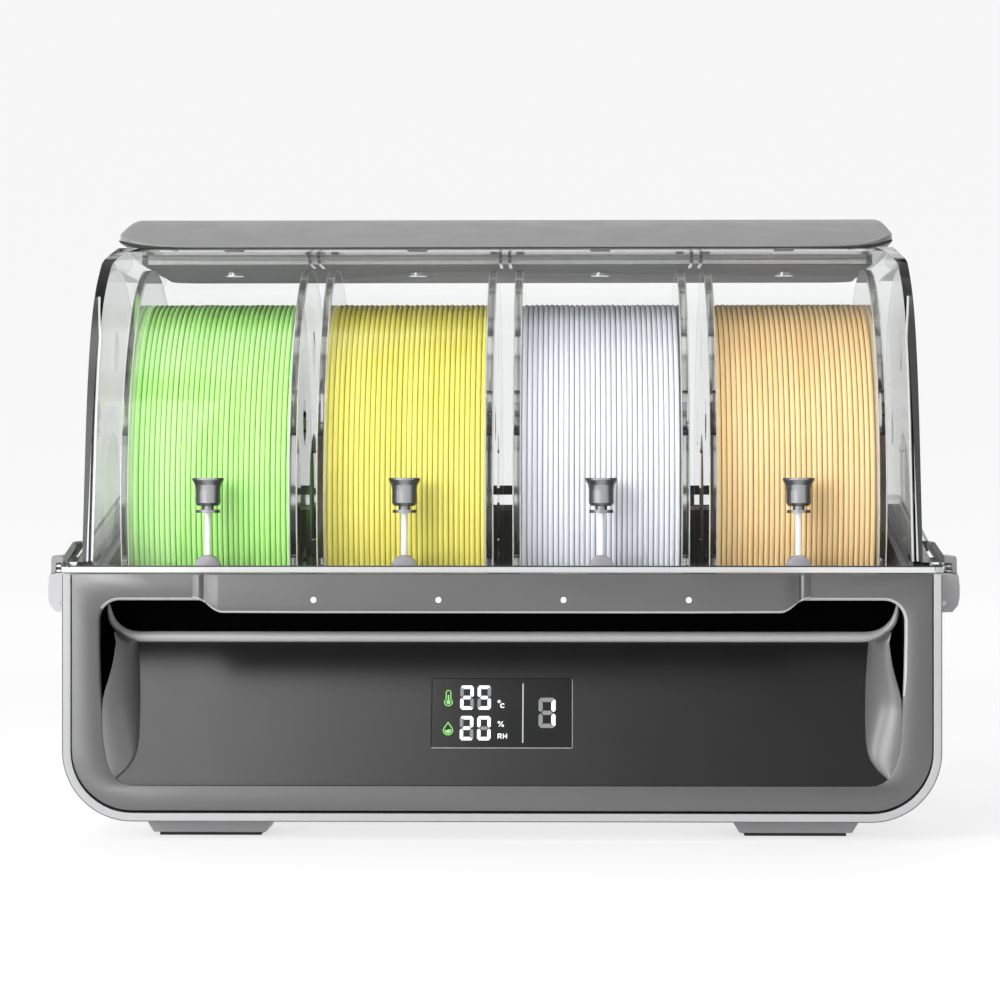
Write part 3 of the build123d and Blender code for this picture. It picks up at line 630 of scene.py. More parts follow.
cham = lambda p: interp([40.0, 58.0, 66.0], [0.25, 0.55, 1.1], p[1])
rows = []
rows.append([(x, 3.0, z) for x, z in inset(ring_ou, -0.02)])
rows.append([(x, 0.35, z) for x, z in ring_ou])
rows.append([(x, 0.1, z) for x, z in inset(ring_ou, -0.12)])
rows.append([(x, 0.0, z) for x, z in inset(ring_ou, -0.4)])
rows.append([(x, 0.0, z) for x, z in inset(ring_in, cham)])
rows.append([(x, 0.22 * cham((x, z)), z) for x, z in inset(ring_in, lambda p: cham(p) * 0.55)])
rows.append([(x, 0.8 * cham((x, z)), z) for x, z in inset(ring_in, lambda p: cham(p) * 0.08)])
rows.append([(x, 1.1 * cham((x, z)), z) for x, z in ring_in])
rows.append([(x, 3.0, z) for x, z in ring_in])
verts = [V(*p) for r in rows for p in r]
faces = []
for r in range(len(rows)):
    r2 = (r + 1) % len(rows)
    for i in range(NR):
        j = (i + 1) % NR
        faces.append((r * NR + i, r * NR + j, r2 * NR + j, r2 * NR + i))
# chamfer faces along the top and right of the pocket take the light bevel grey: painted highlight; the left side stays
# dark
fm = []
for r in range(len(rows)):
    for i in range(NR):
        zz = ring_in[i][1]
        fm.append(1 if r in (4, 5, 6) and zz > 58.0 and (ring_in[i][0] > 0 or zz > 95.2) else 0)
mesh_obj("bezel_ring", verts, faces, [M["bezel"], M["rim"]], "base", ["front_bezel"], angle=50,
         face_mats=fm, front=Vector((0, -1, 0)))

# leaning panel, with its sides rolling forward into the ring; the rolls use a lighter grey, partly painted highlight
zr = [22.9, 24.4, 25.9, 27.5, 29.1, 31.0, 33.2, 35.5, SCR_Z - 13.94, 41.3, 45.0, 49.4, 53.5, 57.6, 61.5,
      SCR_Z + 13.94, 68.5, 71.5, 74.3, 77.0, 79.0, 80.6, 81.4, 82.2, 83.4, 84.6]
XPz = [22.9, 25.6, 28.7, 32.6, 36.0, 40.5, 49.0, 57.2, 65.0, 73.0, 80.6, 81.4, 82.2, 83.4, 84.6]
XPx = [157.2, 156.9, 153.2, 150.4, 149.2, 148.6, 148.7, 149.0, 149.5, 150.3, 151.2, 153.0, 154.6, 156.4, 158.0]
XGz = [22.9, 25.9, 29.1, 33.2, 41.3, 49.4, 57.6, 61.5, 65.4, 70.0, 74.3, 80.6, 84.6]
XGx = [157.3, 157.9, 159.6, 160.9, 162.3, 162.8, 162.6, 161.9, 160.9, 159.9, 159.3, 158.8, 159.6]
DGz = [22.9, 45.0, 55.0, 59.0, 65.4, 70.0, 74.3, 80.6]
DGx = [0.1, 0.35, 0.9, 2.6, 6.5, 9.5, 12.0, 15.0]
lean = lambda z: max(0.0, (z - 23.0) * T27)
NT = 12
for side in (-1, 1):
    verts, faces, cols = [], [], None
    for z in zr:
        xp, xg, dg, dl = interp(XPz, XPx, z), interp(XGz, XGx, z), interp(DGz, DGx, z), lean(z)
        row = [(28.95, dl, z), (80.0, dl, z), (xp - 0.5, dl, z), (xp - 0.12, dl + 0.02, z), (xp, dl + 0.28, z)]
        row.append((xp + 0.12, dl + 0.02, z))
        dl2 = max(dl, dg)
        for k in range(NT + 1):
            t = math.pi / 2 * k / NT
            row.append((xp + 0.14 + (xg - xp - 0.14) * (1 - math.cos(t)) ** 0.9, dl2 - (dl2 - dg) * math.sin(t) ** 1.15, z))
        back = interp([45.0, 58.0, 66.0], [1.0, 2.2, 5.5], z)
        row += [(xg + 0.35 * min(1, back / 5), dg + 0.5 * back, z), (xg + 0.4 * min(1, back / 5), dg + back, z)]
        cols = len(row)
        for x, d, zz in row:
            verts.append(V(side * x, d, zz))
    # faces from the panel edge outward take the cheek grey: partly painted highlight
    fm = []
    for r in range(len(zr) - 1):
        for c in range(cols - 1):
            if zr[r] > 80.5 and c < 5:
                continue
            a = r * cols + c
            faces.append((a, a + 1, a + cols + 1, a + cols))
            fm.append(1 if c >= 4 else 0)
    o = mesh_obj("panel_left" if side < 0 else "panel_right", verts, faces, [M["panel"], M["cheek"]], "base",
                 ["display_panel"] if side < 0 else (), angle=38,
             front=Vector((0, -1, 0)), thick=0.0003, face_mats=fm)

# middle of the panel, above, below and beside the display window
verts, faces = [], []


def add_rect(x0, x1, z0, z1):
    nx, nz = 12, 4
    b = len(verts)
    for a in range(nz + 1):
        for c in range(nx + 1):
            x = x0 + (x1 - x0) * c / nx
            z = z0 + (z1 - z0) * a / nz
            verts.append(V(x, lean(z), z))
    for a in range(nz):
        for c in range(nx):
            q = b + a * (nx + 1) + c
            faces.append((q, q + 1, q + nx + 2, q + nx + 1))


add_rect(-28.95, 28.95, 22.9, SCR_Z - 13.94)
add_rect(-28.95, 28.95, SCR_Z + 13.94, 80.6)
mesh_obj("panel_middle", verts, faces, M["panel"], "base", (), angle=38,
         front=Vector((0, -1, 0)), thick=0.002)


def tube_path(name, pts, mat, body, n=16, flat=1.0, closed_ends=True, repl=()):
    """Round bar along (x, d, z, r) points in mm."""
    P = [V(p[0], p[1], p[2]) for p in pts]
    R = [p[3] / 1000.0 for p in pts]
    verts, faces = [], []
    up = Vector((0, 0, 1))
    for i, p in enumerate(P):
        t = (P[min(i + 1, len(P) - 1)] - P[max(i - 1, 0)]).normalized()
        ref = Vector((0, 1, 0)) if abs(t.y) < 0.9 else up
        a = t.cross(ref).normalized()
        b = a.cross(t).normalized()
        for k in range(n):
            w = 2 * math.pi * k / n
            verts.append(p + a * math.cos(w) * R[i] + b * math.sin(w) * R[i] * flat)
    for i in range(len(P) - 1):
        for k in range(n):
            k2 = (k + 1) % n
            faces.append((i * n + k, i * n + k2, (i + 1) * n + k2, (i + 1) * n + k))
    if closed_ends:
        faces.append(tuple(range(n - 1, -1, -1)))
        faces.append(tuple((len(P) - 1) * n + k for k in range(n)))
    return mesh_obj(name, verts, faces, mat, body, repl, angle=50)


# lip along the top of the panel, curling up into the corners of the pocket; its light grey is a painted highlight
half_path = smooth_poly([(-163.0, 24.6, 95.8, 0.55), (-162.6, 25.2, 92.4, 1.1), (-161.4, 26.0, 88.7, 1.55),
                         (-158.7, 26.8, 85.4, 1.85), (-155.0, 27.3, 83.3, 2.05), (-151.0, 27.6, 82.5, 2.15),
                         (-146.0, 27.6, 82.4, 2.2)], 4)
lip = half_path + [(-100.0, 27.6, 82.4, 2.2), (0.0, 27.6, 82.4, 2.2), (100.0, 27.6, 82.4, 2.2)] \
    + [(-p[0], p[1], p[2], p[3]) for p in half_path[::-1]]
tube_path("panel_lip", lip, M["lip"], "base", 24)


def box_verts(verts, faces, x0, x1, d0, d1, z0, z1):
    b = len(verts)
    for x in (x0, x1):
        for d in (d0, d1):
            for z in (z0, z1):
                verts.append(V(x, d, z))
    for f in ((0, 1, 3, 2), (4, 6, 7, 5), (0, 4, 5, 1), (2, 3, 7, 6), (0, 2, 6, 4), (1, 5, 7, 3)):
        faces.append(tuple(b + i for i in f))


# near-black top, back and side walls of the slot behind the brow: painted shade
verts, faces = [], []
box_verts(verts, faces, -165.0, 165.0, 1.2, 33.0, 98.35, 99.6)
box_verts(verts, faces, -165.0, 165.0, 31.4, 33.2, 62.0, 98.3)
box_verts(verts, faces, -166.0, -164.2, 1.2, 31.3, 30.0, 98.3)
box_verts(verts, faces, 164.2, 166.0, 1.2, 31.3, 30.0, 98.3)
mesh_obj("pocket_shade_walls", verts, faces, M["void"], "base", (), smooth=False)

# light bar: ends ramp out of the ring, lower edge follows the S and carries a chamfer painted light grey as a highlight
bar_z = lambda x: interp([112.6, 115.0, 117.5, 120.5, 123.5, 125.8], [93.0, 93.35, 94.7, 97.2, 98.55, 98.95], abs(x))
bar_f = lambda x: interp([113.4, 115.2, 117.4, 119.6, 120.9, 121.5, 121.9, 123.0, 124.4, 125.3, 125.8],
                         [-3.0, -2.96, -2.65, -2.0, -1.4, -0.45, -1.0, -1.3, -1.05, -0.45, -0.06], abs(x))
xsb = [113.4 + 12.4 * k / 44 for k in range(45)]
cols_x = [-x for x in xsb[::-1]]
for c in (-76.2, -25.4, 25.4, 76.2):
    cols_x += [c - 1.25, c + 1.25]
cols_x += xsb
LED_Z = 98.4
verts, faces, nprof = [], [], None
for x in cols_x:
    f, b = bar_f(x), bar_z(x)
    bk = 1.9 if abs(x) < 112.0 else 0.05
    pr = [(0.04, 108.75), (f + 0.3, 108.75), (f + 0.08, 108.65), (f, 108.4)]
    pr += [(f, LED_Z + 1.25), (f, LED_Z - 1.25)] if b < 97.0 else [(f, b + 0.9 + (108.4 - b - 0.9) * 0.3), (f, b + 0.9 + 0.05)]
    pr += [(f, b + 0.85), (f + 0.12, b + 0.42), (f + 0.42, b + 0.1), (f + 0.8, b), (bk if bk > 0.5 else max(0.045, f + 0.85), b)]
    pr += [(bk if bk > 0.5 else max(0.05, f + 0.86), max(b + 0.02, 98.6 if bk > 0.5 else b + 0.02)), (0.04, max(b + 0.03, 98.65))]
    nprof = len(pr)
    for d, z in pr:
        verts.append(V(x, d, z))
faces = []
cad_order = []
nc = len(cols_x)
for c in range(nc - 1):
    lamp = any(abs((cols_x[c] + cols_x[c + 1]) / 2 - q) < 0.01 for q in (-76.2, -25.4, 25.4, 76.2))
    for k in range(nprof):
        if lamp and k == 4:
            continue
        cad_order.append((c, k))
        k2 = (k + 1) % nprof
        faces.append((c * nprof + k, c * nprof + k2, (c + 1) * nprof + k2, (c + 1) * nprof + k))
faces.append(tuple(range(nprof)))
faces.append(tuple((nc - 1) * nprof + k for k in range(nprof - 1, -1, -1)))
# the lower chamfer faces take the light bevel grey: painted highlight
fm = [1 if 6 <= k <= 9 else 0 for (c, k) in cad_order] + [0, 0]
mesh_obj("status_bar", verts, faces, [M["bar"], M["rim"]], "base", ["light_bar"], face_mats=fm, angle=24, front=Vector((0, -1, 0)))
# round lamp openings: square patch with a round hole and a short bore
verts, faces = [], []
for q in (-76.2, -25.4, 25.4, 76.2):
    b = len(verts)
    ns = 32
    ring_pts = []
    for k in range(ns):
        a = 2 * math.pi * k / ns
        c, sn = math.cos(a), math.sin(a)
        m = 1.25 / max(abs(c), abs(sn))
        verts.append(V(q + m * c, -3.0, LED_Z + m * sn))
        verts.append(V(q + 1.16 * c, -3.0, LED_Z + 1.16 * sn))
        verts.append(V(q + 1.16 * c, -0.5, LED_Z + 1.16 * sn))
    for k in range(ns):
        k2 = (k + 1) % ns
        faces.append((b + 3 * k, b + 3 * k + 1, b + 3 * k2 + 1, b + 3 * k2))
        faces.append((b + 3 * k + 1, b + 3 * k + 2, b + 3 * k2 + 2, b + 3 * k2 + 1))
mesh_obj("status_bar_lamp_rims", verts, faces, M["bar"], "base", (), smooth=False,
         front=Vector((0, -1, 0)))

# ------------------------------------------------------------------ lid: clear shell with dark edge strips
lid_me = NODES["lid_shell"].data.copy()
lid_me.materials.clear()
for key in ("lid", "edge", "edge_glint", "line_and_gap_shadow"):
    lid_me.materials.append(M[key])
bm = bmesh.new()
bm.from_mesh(lid_me)
for sgn in (-1, 1):
    geom = bm.verts[:] + bm.edges[:] + bm.faces[:]
    bmesh.ops.bisect_plane(bm, geom=geom, dist=1e-6, plane_co=(sgn * 0.1662, 0, 0), plane_no=(1, 0, 0))
    geom = [g for g in bm.verts[:] + bm.edges[:] + bm.faces[:]]
    bmesh.ops.bisect_plane(bm, geom=geom, dist=1e-6, plane_co=(sgn * 0.1662, 0, 0.206), plane_no=(sgn * 33.0, 0, -3.8))
EDGE_X = (0.1655, 0.1664, 0.1668, 0.1675, 0.1683)
for sgn in (-1, 1):
    for xx in EDGE_X:
        for co, no in (((sgn * xx, 0, 0), (1, 0, 0)), ((sgn * xx, 0, 0.206), (sgn * 33.0, 0, -3.8))):
            geom = bm.verts[:] + bm.edges[:] + bm.faces[:]
            bmesh.ops.bisect_plane(bm, geom=geom, dist=1e-6, plane_co=co, plane_no=no)
    geom = bm.verts[:] + bm.edges[:] + bm.faces[:]
    bmesh.ops.bisect_plane(bm, geom=geom, dist=1e-6, plane_co=(sgn * 0.1683, 0, 0.114), plane_no=(sgn * 0.092, 0, 0.0015))
for zz in (0.1095, 0.1117, 0.1123):
    geom = bm.verts[:] + bm.edges[:] + bm.faces[:]
    bmesh.ops.bisect_plane(bm, geom=geom, dist=1e-7, plane_co=(0, 0, zz), plane_no=(0, 0, 1))
for v in bm.verts:
    if v.co.z > 0.2395 and abs(v.co.x) > 0.160:
        v.co.x -= math.copysign((v.co.z - 0.2395) * 0.42, v.co.x)
bm.normal_update()
# flange front from the bottom: dark line as painted shadow of the gap to the ring, white band as painted highlight,
# thin dark line, then clear; side-wall front edges: dark strips with bright lines as painted highlight
for f in bm.faces:
    c = f.calc_center_median()
    if c.z < 0.1136 and abs(f.normal.z) < 0.7 and (c.y < -0.125 and f.normal.y < -0.3 or abs(c.x) > 0.1785):
        f.material_index = 3 if c.z < 0.1095 else 2 if c.z < 0.1117 else (3 if c.z < 0.1123 else 0)
        continue
    e = abs(c.x) - max(0.0, (c.z - 0.206) * 3.8 / 33.0)
    f.material_index = 0
    if e > 0.1655 and c.z > 0.1139 and abs(f.normal.x) < 0.75 and (f.normal.y < -0.1 or f.normal.z > 0.1) \
            and c.y < 0.078 - MID + 0.002:
        if c.z > 0.224:
            f.material_index = 1 if e > 0.1675 else 0
        else:
            dark = 0.1683 - 0.0015 * min(1.0, (c.z - 0.114) / 0.092)
            f.material_index = 1 if e > dark or 0.1664 < e < 0.1668 else 0 if 0.1668 < e < 0.1675 else 2
for v in bm.verts:                  # the side walls flare slightly towards the flange
    ax = abs(v.co.x)
    if 0.150 < ax < 0.1745:
        k = max(0.0, min(1.0, 1 - (v.co.z - 0.1123) / 0.126)) * min(1.0, (ax - 0.150) / 0.014)
        v.co.x += math.copysign(0.0019 * k, v.co.x)
bm.to_mesh(lid_me)
bm.free()
lid_me.polygons.foreach_set("use_smooth", [True] * len(lid_me.polygons))
lid_me.set_sharp_from_angle(angle=math.radians(30))
lid_o = bpy.data.objects.new("lid_window", lid_me)
bpy.context.scene.collection.objects.link(lid_o)
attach(lid_o, "lid")
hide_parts("lid_shell")
lid_o.visible_shadow = False

# ------------------------------------------------------------------ half-round seats under the inlets
verts, faces = [], []
for cx in SLOTS:
    prof = []
    for k in range(0, 33):
        a = math.pi * k / 32
        prof.append((5.25 * math.cos(a), 110.9 + 5.25 * math.sin(a)))
    prof = [(5.25, 106.55)] + prof + [(-5.25, 106.55)]
    rings = [(31.2, 0.55), (30.75, 0.2), (30.6, 0.0)]
    b0 = len(verts)
    secs = [(30.9, 0.5), (31.15, 0.15), (31.8, 0.0), (41.2, 0.0), (41.85, 0.15), (42.1, 0.5)]
    npf = len(prof)
    for d, ins in secs:
        for x, z in prof:
            sc = (5.25 - ins) / 5.25
            verts.append(V(cx + x * sc, d, 106.55 + (z - 106.55) * (1 - ins / 9.6)))
    for q in range(len(secs) - 1):
        for k in range(npf):
            k2 = (k + 1) % npf
            faces.append((b0 + q * npf + k, b0 + q * npf + k2, b0 + (q + 1) * npf + k2, b0 + (q + 1) * npf + k))
    faces.append(tuple(b0 + k for k in range(npf)))
    faces.append(tuple(b0 + (len(secs) - 1) * npf + k for k in range(npf - 1, -1, -1)))
mesh_obj("inlet_domes", verts, faces, M["seat"], "base", ["inlet_seats"], angle=35)

# ------------------------------------------------------------------ spools: bright polished rims on the clear flanges
for i, cx in enumerate(SLOTS):
    src = NODES[f"spool_{i + 1}"]
    me = src.data.copy()
    me.materials.clear()
    me.materials.append(M["spool"])
    me.materials.append(M["rim_frost"])
    for p in me.polygons:
        c = p.center
        dy, dz = c.y - (0.138 - MID), c.z - 0.141
        r = math.hypot(dy, dz)
        rad = abs(p.normal.x)
        p.material_index = 1 if r > 0.0990 and rad < 0.85 else 0
    so = bpy.data.objects.new(f"clear_spool_{i + 1}", me)
    bpy.context.scene.collection.objects.link(so)
    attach(so, f"spool_{i + 1}")
    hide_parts(f"spool_{i + 1}")
    so.visible_shadow = False

# ------------------------------------------------------------------ top panel: ends taper towards the corners; a black strip under the front edge is painted shadow of the gap
me = NODES["top_panel"].data.copy()
bm = bmesh.new()
bm.from_mesh(me)
for xx in (120.0, 140.0, 150.0, 155.0, 159.0, 162.0, 164.5, 166.5):
    for sgn in (-1, 1):
        geom = bm.verts[:] + bm.edges[:] + bm.faces[:]
        bmesh.ops.bisect_plane(bm, geom=geom, dist=1e-6, plane_co=(sgn * xx / 1000, 0, 0), plane_no=(1, 0, 0))
for v in bm.verts:
    ax = abs(v.co.x) * 1000
    if ax > 120.0:
        t = (ax - 120.0) / 48.3
        front = max(0.0, min(1.0, (0.150 - (v.co.y + MID)) / 0.07))
        low = max(0.0, min(1.0, 1 - (v.co.z - 0.247) / 0.017))
        v.co.z += 0.0036 * t ** 3 * low * (0.35 + 0.65 * front)
        up = max(0.0, (v.co.z - 0.247) / 0.017)
        t2 = max(0.0, (ax - 163.5) / 4.8)
        v.co.z -= 0.0022 * t2 ** 1.6 * up
        v.co.x *= 1 - 0.012 * t ** 4
bm.to_mesh(me)
bm.free()
me.materials.clear()
me.materials.append(M["top"])
me.polygons.foreach_set("use_smooth", [True] * len(me.polygons))
me.set_sharp_from_angle(angle=math.radians(28))
tp = bpy.data.objects.new("top_cover", me)
bpy.context.scene.collection.objects.link(tp)
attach(tp, "lid")
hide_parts("top_panel")

# black strip under the front edge: painted shadow of the gap, in the seal material
gap = [(-165.6, 82.0, 250.2, 0.35), (-163.6, 79.2, 249.3, 0.6), (-159.0, 78.2, 248.0, 0.75), (-152.0, 77.75, 246.9, 0.8),
       (-140.0, 77.6, 246.45, 0.8), (-120.0, 77.6, 246.35, 0.8)]
gap = smooth_poly(gap, 4)
tube_path("top_cover_gap_shadow", gap + [(0.0, 77.6, 246.35, 0.8)] + [(-p[0], p[1], p[2], p[3]) for p in gap[::-1]],
          M["seal"], "lid", 12)
# light-grey strip along the front edge of the dark inner plate: painted highlight
verts, faces = [], []
pr = [(115.9, 244.4), (115.7, 244.2), (115.7, 242.9), (116.1, 242.45), (116.95, 242.4), (116.95, 244.4)]
for x in (-157.2, -156.8, -78.0, 0.0, 78.0, 156.8, 157.2):
    for d, z in pr:
        verts.append(V(x, d, z))
for q in range(6):
    for k in range(6):
        k2 = (k + 1) % 6
        faces.append((q * 6 + k, q * 6 + k2, (q + 1) * 6 + k2, (q + 1) * 6 + k))
faces += [tuple(range(6)), tuple(36 + k for k in range(5, -1, -1))]
mesh_obj("inner_plate_lip", verts, faces, M["rim"], "lid", (), angle=30)

# ------------------------------------------------------------------ latch caps: slim cap on the lever, thin dark hook over the flange
def px(x, y, d):
    """Point in mm from a place in the photo, at depth d."""
    k = 3690.0 / (1500.0 + d)
    return (x - 577.3) / k + 31.0, 139.0 - (y - 500.0) / k


def prism(verts, faces, poly, d0, d1, sgn, bev=0.25):
    """Closed profile pushed from depth d0 to d1, with both end edges broken."""
    cx = sum(p[0] for p in poly) / len(poly)
    cz = sum(p[1] for p in poly) / len(poly)
    b, n = len(verts), len(poly)
    for d, k in ((d0, 1), (d0 + bev, 0), (d1 - bev, 0), (d1, 1)):
        for x, z in poly:
            ll = math.hypot(x - cx, z - cz) or 1
            verts.append(V(sgn * (x - k * bev * (x - cx) / ll), d, z - k * bev * (z - cz) / ll))
    for r in range(3):
        for i in range(n):
            j = (i + 1) % n
            faces.append((b + r * n + i, b + r * n + j, b + (r + 1) * n + j, b + (r + 1) * n + i))
    faces.append(tuple(b + i for i in range(n))[::-1])
    faces.append(tuple(b + 3 * n + i for i in range(n)))


for sd, sgn in (("left", 1), ("right", -1)):
    src = NODES[f"latch_hook_{sd}"].data
    ys = [v.co.y * 1000 + 147.0 for v in src.vertices]
    d0, d1 = min(ys), max(ys)
    dm = d0
    cap = [px(x, y, dm) for x, y in ((49.6, 574.4), (49.8, 559.0), (50.8, 556.4), (53.0, 555.6), (60.8, 555.9),
                                     (62.4, 557.4), (62.6, 562.8), (54.6, 563.2), (54.0, 574.4))]
    hook = [px(x, y, dm) for x, y in ((61.6, 557.0), (71.4, 542.4), (73.4, 541.6), (74.6, 543.6), (74.9, 548.0),
                                      (66.4, 560.6), (63.4, 563.0))]
    verts, faces = [], []
    prism(verts, faces, cap, d0, d1, sgn)
    fm = [0] * len(faces)
    prism(verts, faces, hook, d0, d1 - 10.0, sgn)
    fm += [1] * (len(faces) - len(fm))
    mesh_obj(f"latch_cap_{sd}", verts, faces, [M["hook_pale"], M["hook"]], f"latch_{sd}", [f"latch_hook_{sd}"],
             angle=40, face_mats=fm)
    verts, faces = [], []
    for y0 in (565.6, 570.6):
        bar = [px(x, y, dm) for x, y in ((54.4, y0), (55.0, y0 - 0.9), (59.0, y0 - 0.9), (59.6, y0), (59.4, y0 + 1.6),
                                         (54.6, y0 + 1.6))]
        prism(verts, faces, bar, d0 + 0.8, d1 - 0.8, sgn, 0.2)
    mesh_obj(f"latch_spring_{sd}", verts, faces, M["steel"], f"latch_{sd}", (), angle=40)

# ------------------------------------------------------------------ light-grey rings on the spool flange edges: painted highlight
for i, cx in enumerate(SLOTS):
    verts, faces = [], []
    for x0 in (-36.75, -33.75, 33.75, 36.75):
        ring = [(x0 + 0.3 * math.cos(2 * math.pi * k / 8), 99.62 + 0.3 * math.sin(2 * math.pi * k / 8)) for k in range(8)]
        v, f = lathe_x(ring, cx, 138.0, 141.0, 144)
        b = len(verts)
        verts += v
        faces += [tuple(b + q for q in g) for g in f]
    mesh_obj(f"spool_{i + 1}_painted_rim_glint", verts, faces, M["edge_glint"], f"spool_{i + 1}", (), angle=60)

# ------------------------------------------------------------------ shell: painted front edge with its dark outline
def u_path(off, top=108.6):
    """Outline of the shell seen from the front, moved in by off."""
    hw, zb, rr = 179.0 - off, 8.0 + off, 28.7 - off
    pts = [(-hw, top), (-hw, 80.0), (-hw, 55.0), (-hw, zb + rr)]
    for k in range(1, 25):
        a = math.radians(90 * k / 24)
        pts.append((-hw + rr * (1 - math.cos(a)), zb + rr * (1 - math.sin(a))))
    return pts + [(-x, z) for x, z in pts[::-1]]


verts, faces = [], []
prof_e = [(0.02, 0.3), (0.02, -0.04), (0.42, -0.05), (0.47, -0.05), (3.1, -0.05), (3.38, 0.02), (3.38, 0.3)]
paths = [u_path(o) for o, d in prof_e]
n_p = len(paths[0])
fm = []
for (o, d), pt in zip(prof_e, paths):
    verts += [V(x, d, z) for x, z in pt]
for a in range(len(prof_e)):
    a2 = (a + 1) % len(prof_e)
    for k in range(n_p - 1):
        faces.append((a * n_p + k, a * n_p + k + 1, a2 * n_p + k + 1, a2 * n_p + k))
        fm.append(1 if a in (0, 1) else 0)
mesh_obj("shell_front_edge", verts, faces, [M["shell"], M["outline"]], "base", (), angle=30, face_mats=fm,
         front=Vector((0, -1, 0)))

# ------------------------------------------------------------------ clear pieces let the lamps through
for n in ["lid_shell"] + [f"spool_{k}" for k in range(1, 5)]:
    NODES[n].visible_shadow = False

# ------------------------------------------------------------------ camera
cam_data = bpy.data.cameras.new("camera")
cam = bpy.data.objects.new("camera", cam_data)
bpy.context.scene.collection.objects.link(cam)
cam_data.sensor_width = 36.0
cam_data.lens = 132.84
cam_data.clip_start = 0.05
cam_data.clip_end = 60.0
cam.location = (0.031, -0.147 - 1.5, 0.139)
cam.rotation_euler = (math.radians(90), 0, math.radians(1.2))
bpy.context.scene.camera = cam

# ------------------------------------------------------------------ floor, backdrop, light
def stage_mat(name, rgb, rough):
    m, nt, b = new_mat(name)
    vec = coords(nt)
    col = ramp(nt, noise(nt, vec, 0.7, 2.0), [(0.3, tuple(c * 0.995 for c in rgb)), (0.7, rgb)])
    nt.links.new(col, b.inputs["Base Color"])
    b.inputs["Roughness"].default_value = rough
    b.inputs["Specular IOR Level"].default_value = 0.15
    return m


m, nt, b = new_mat("studio_white")
vec = coords(nt)
grad = nt.nodes.new("ShaderNodeVectorMath")
grad.operation = "LENGTH"
nt.links.new(vec, grad.inputs[0])
mr = nt.nodes.new("ShaderNodeMapRange")
mr.inputs["From Min"].default_value = 0.35
mr.inputs["From Max"].default_value = 1.6
mr.inputs["To Min"].default_value = 0.0
mr.inputs["To Max"].default_value = 1.0
nt.links.new(grad.outputs["Value"], mr.inputs["Value"])
near = ramp(nt, mr.outputs["Result"], [(0.0, (0.42, 0.42, 0.42)), (1.0, (0.0, 0.0, 0.0))])
far = ramp(nt, mr.outputs["Result"], [(0.0, (0.64, 0.64, 0.64)), (1.0, (0.93, 0.93, 0.93))])
nt.links.new(near, b.inputs["Base Color"])
nt.links.new(far, b.inputs["Emission Color"])
b.inputs["Emission Strength"].default_value = 1.0
b.inputs["Roughness"].default_value = 0.7
b.inputs["Specular IOR Level"].default_value = 0.1
prof = [(-12.0, 0.0), (3.0, 0.0)]
for k in range(1, 13):
    a = math.radians(90 * k / 12)
    prof.append((3.0 + 1.5 * math.sin(a), 1.5 * (1 - math.cos(a))))
prof += [(4.5, 5.0)]
vs, fs = [], []
for y, z in prof:
    vs += [(-7.0, y, z), (7.0, y, z)]
for k in range(len(prof) - 1):
    fs.append((2 * k, 2 * k + 1, 2 * k + 3, 2 * k + 2))
me = bpy.data.meshes.new("studio_floor")
me.from_pydata(vs, [], fs)
me.materials.append(m)
me.polygons.foreach_set("use_smooth", [True] * len(me.polygons))
floor = bpy.data.objects.new("studio_floor", me)
bpy.context.scene.collection.objects.link(floor)

world = bpy.data.worlds.new("studio")
bpy.context.scene.world = world
world.use_nodes = True
wt = world.node_tree
bg = wt.nodes["Background"]
bg.inputs["Color"].default_value = (1.0, 1.0, 1.0, 1)
wc = wt.nodes.new("ShaderNodeTexCoord").outputs["Generated"]


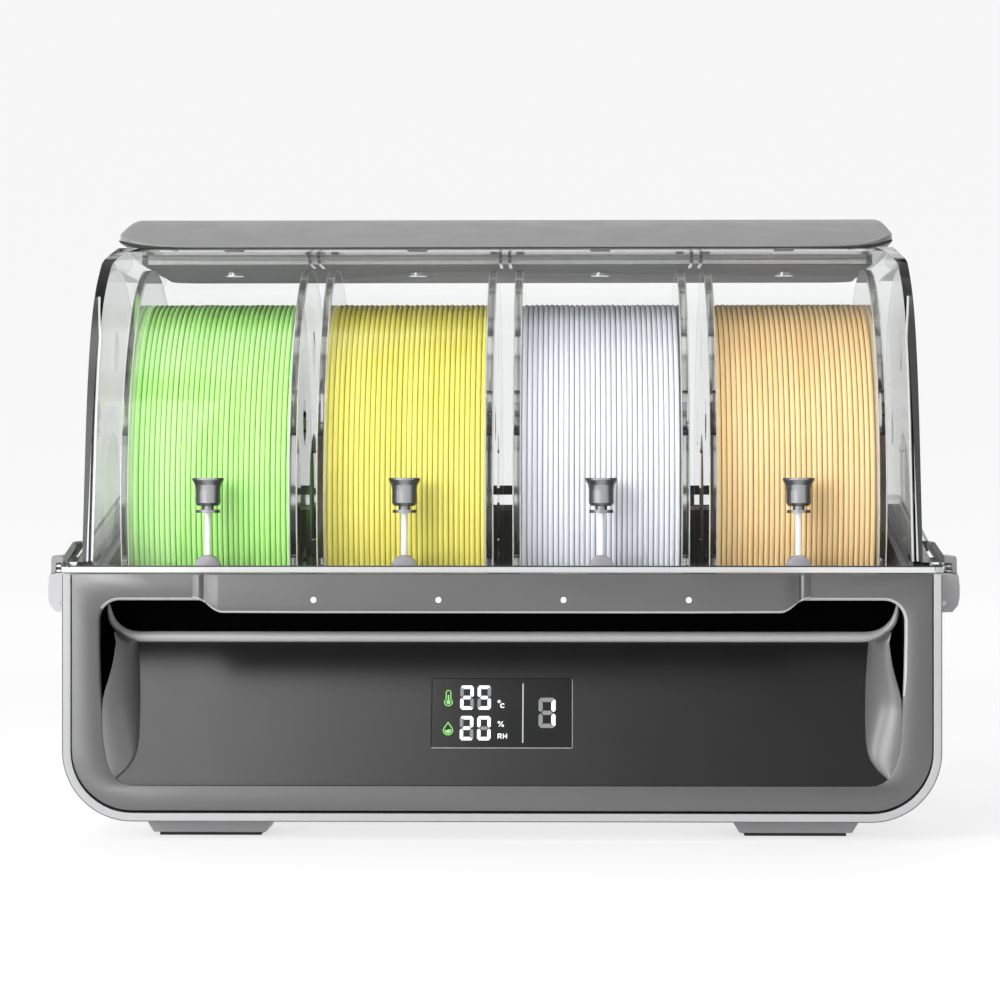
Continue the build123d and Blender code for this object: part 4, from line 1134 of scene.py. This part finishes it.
def lobe(az, el, inner, outer, gain):
    """Soft window in the surroundings. az: degrees left of the camera side, el: degrees up."""
    a, e = math.radians(az), math.radians(el)
    dv = (-math.sin(a) * math.cos(e), -math.cos(a) * math.cos(e), math.sin(e))
    dot = wt.nodes.new("ShaderNodeVectorMath")
    dot.operation = "DOT_PRODUCT"
    dot.inputs[1].default_value = dv
    wt.links.new(wc, dot.inputs[0])
    mp = wt.nodes.new("ShaderNodeMapRange")
    mp.interpolation_type = "SMOOTHERSTEP"
    mp.inputs["From Min"].default_value = math.cos(math.radians(outer))
    mp.inputs["From Max"].default_value = math.cos(math.radians(inner))
    mp.inputs["To Min"].default_value = 0.0
    mp.inputs["To Max"].default_value = gain
    wt.links.new(dot.outputs["Value"], mp.inputs["Value"])
    return mp.outputs["Result"]


r = lobe(48.0, 0.0, 5.0, 70.0, 0.30)
ad = wt.nodes.new("ShaderNodeMath")
ad.operation = "ADD"
ad.inputs[1].default_value = 0.24
wt.links.new(r, ad.inputs[0])
wt.links.new(ad.outputs[0], bg.inputs["Strength"])


def area(name, loc, target, size, power, sy=None, color=(1, 1, 1)):
    ld = bpy.data.lights.new(name, "AREA")
    ld.shape = "RECTANGLE"
    ld.size = size
    ld.size_y = sy or size
    ld.energy = power
    ld.color = color
    o = bpy.data.objects.new(name, ld)
    bpy.context.scene.collection.objects.link(o)
    o.location = loc
    dirv = Vector(target) - Vector(loc)
    o.rotation_euler = dirv.to_track_quat("-Z", "Y").to_euler()
    return o


def soft(name, loc, target, size, sy, radiance, steps=3, spread=0.45):
    """A softbox with feathered edges: nested rectangles that each add a share of the brightness."""
    for k in range(steps):
        g = 1.0 + spread * (k / max(1, steps - 1) - 0.5) * 2
        w, h = size * g, sy * g
        back = 0.004 * k
        d = (Vector(loc) - Vector(target)).normalized()
        area(f"{name}_{k + 1}", tuple(Vector(loc) + d * back), target, w, radiance / steps * math.pi * w * h, h)


soft("softbox_left", (-0.95, -1.75, 0.30), (-0.05, -0.1, 0.10), 0.95, 1.0, 8.2)
soft("softbox_high", (-0.43, -1.0, 1.15), (-0.05, -0.12, 0.06), 0.60, 0.62, 3.3, 4, 0.22)
soft("strip_left", (-1.30, -0.62, 0.22), (0.14, -0.14, 0.07), 0.34, 0.55, 9.0, 2, 0.3)
soft("strip_right", (1.25, -0.70, 0.25), (-0.14, -0.14, 0.07), 0.34, 0.55, 1.1, 2, 0.3)
soft("softbox_top", (0.1, 0.25, 1.6), (0, 0, 0.1), 1.1, 1.1, 1.8, 2, 0.4)
bpy.context.scene.view_settings.view_transform = "Standard"
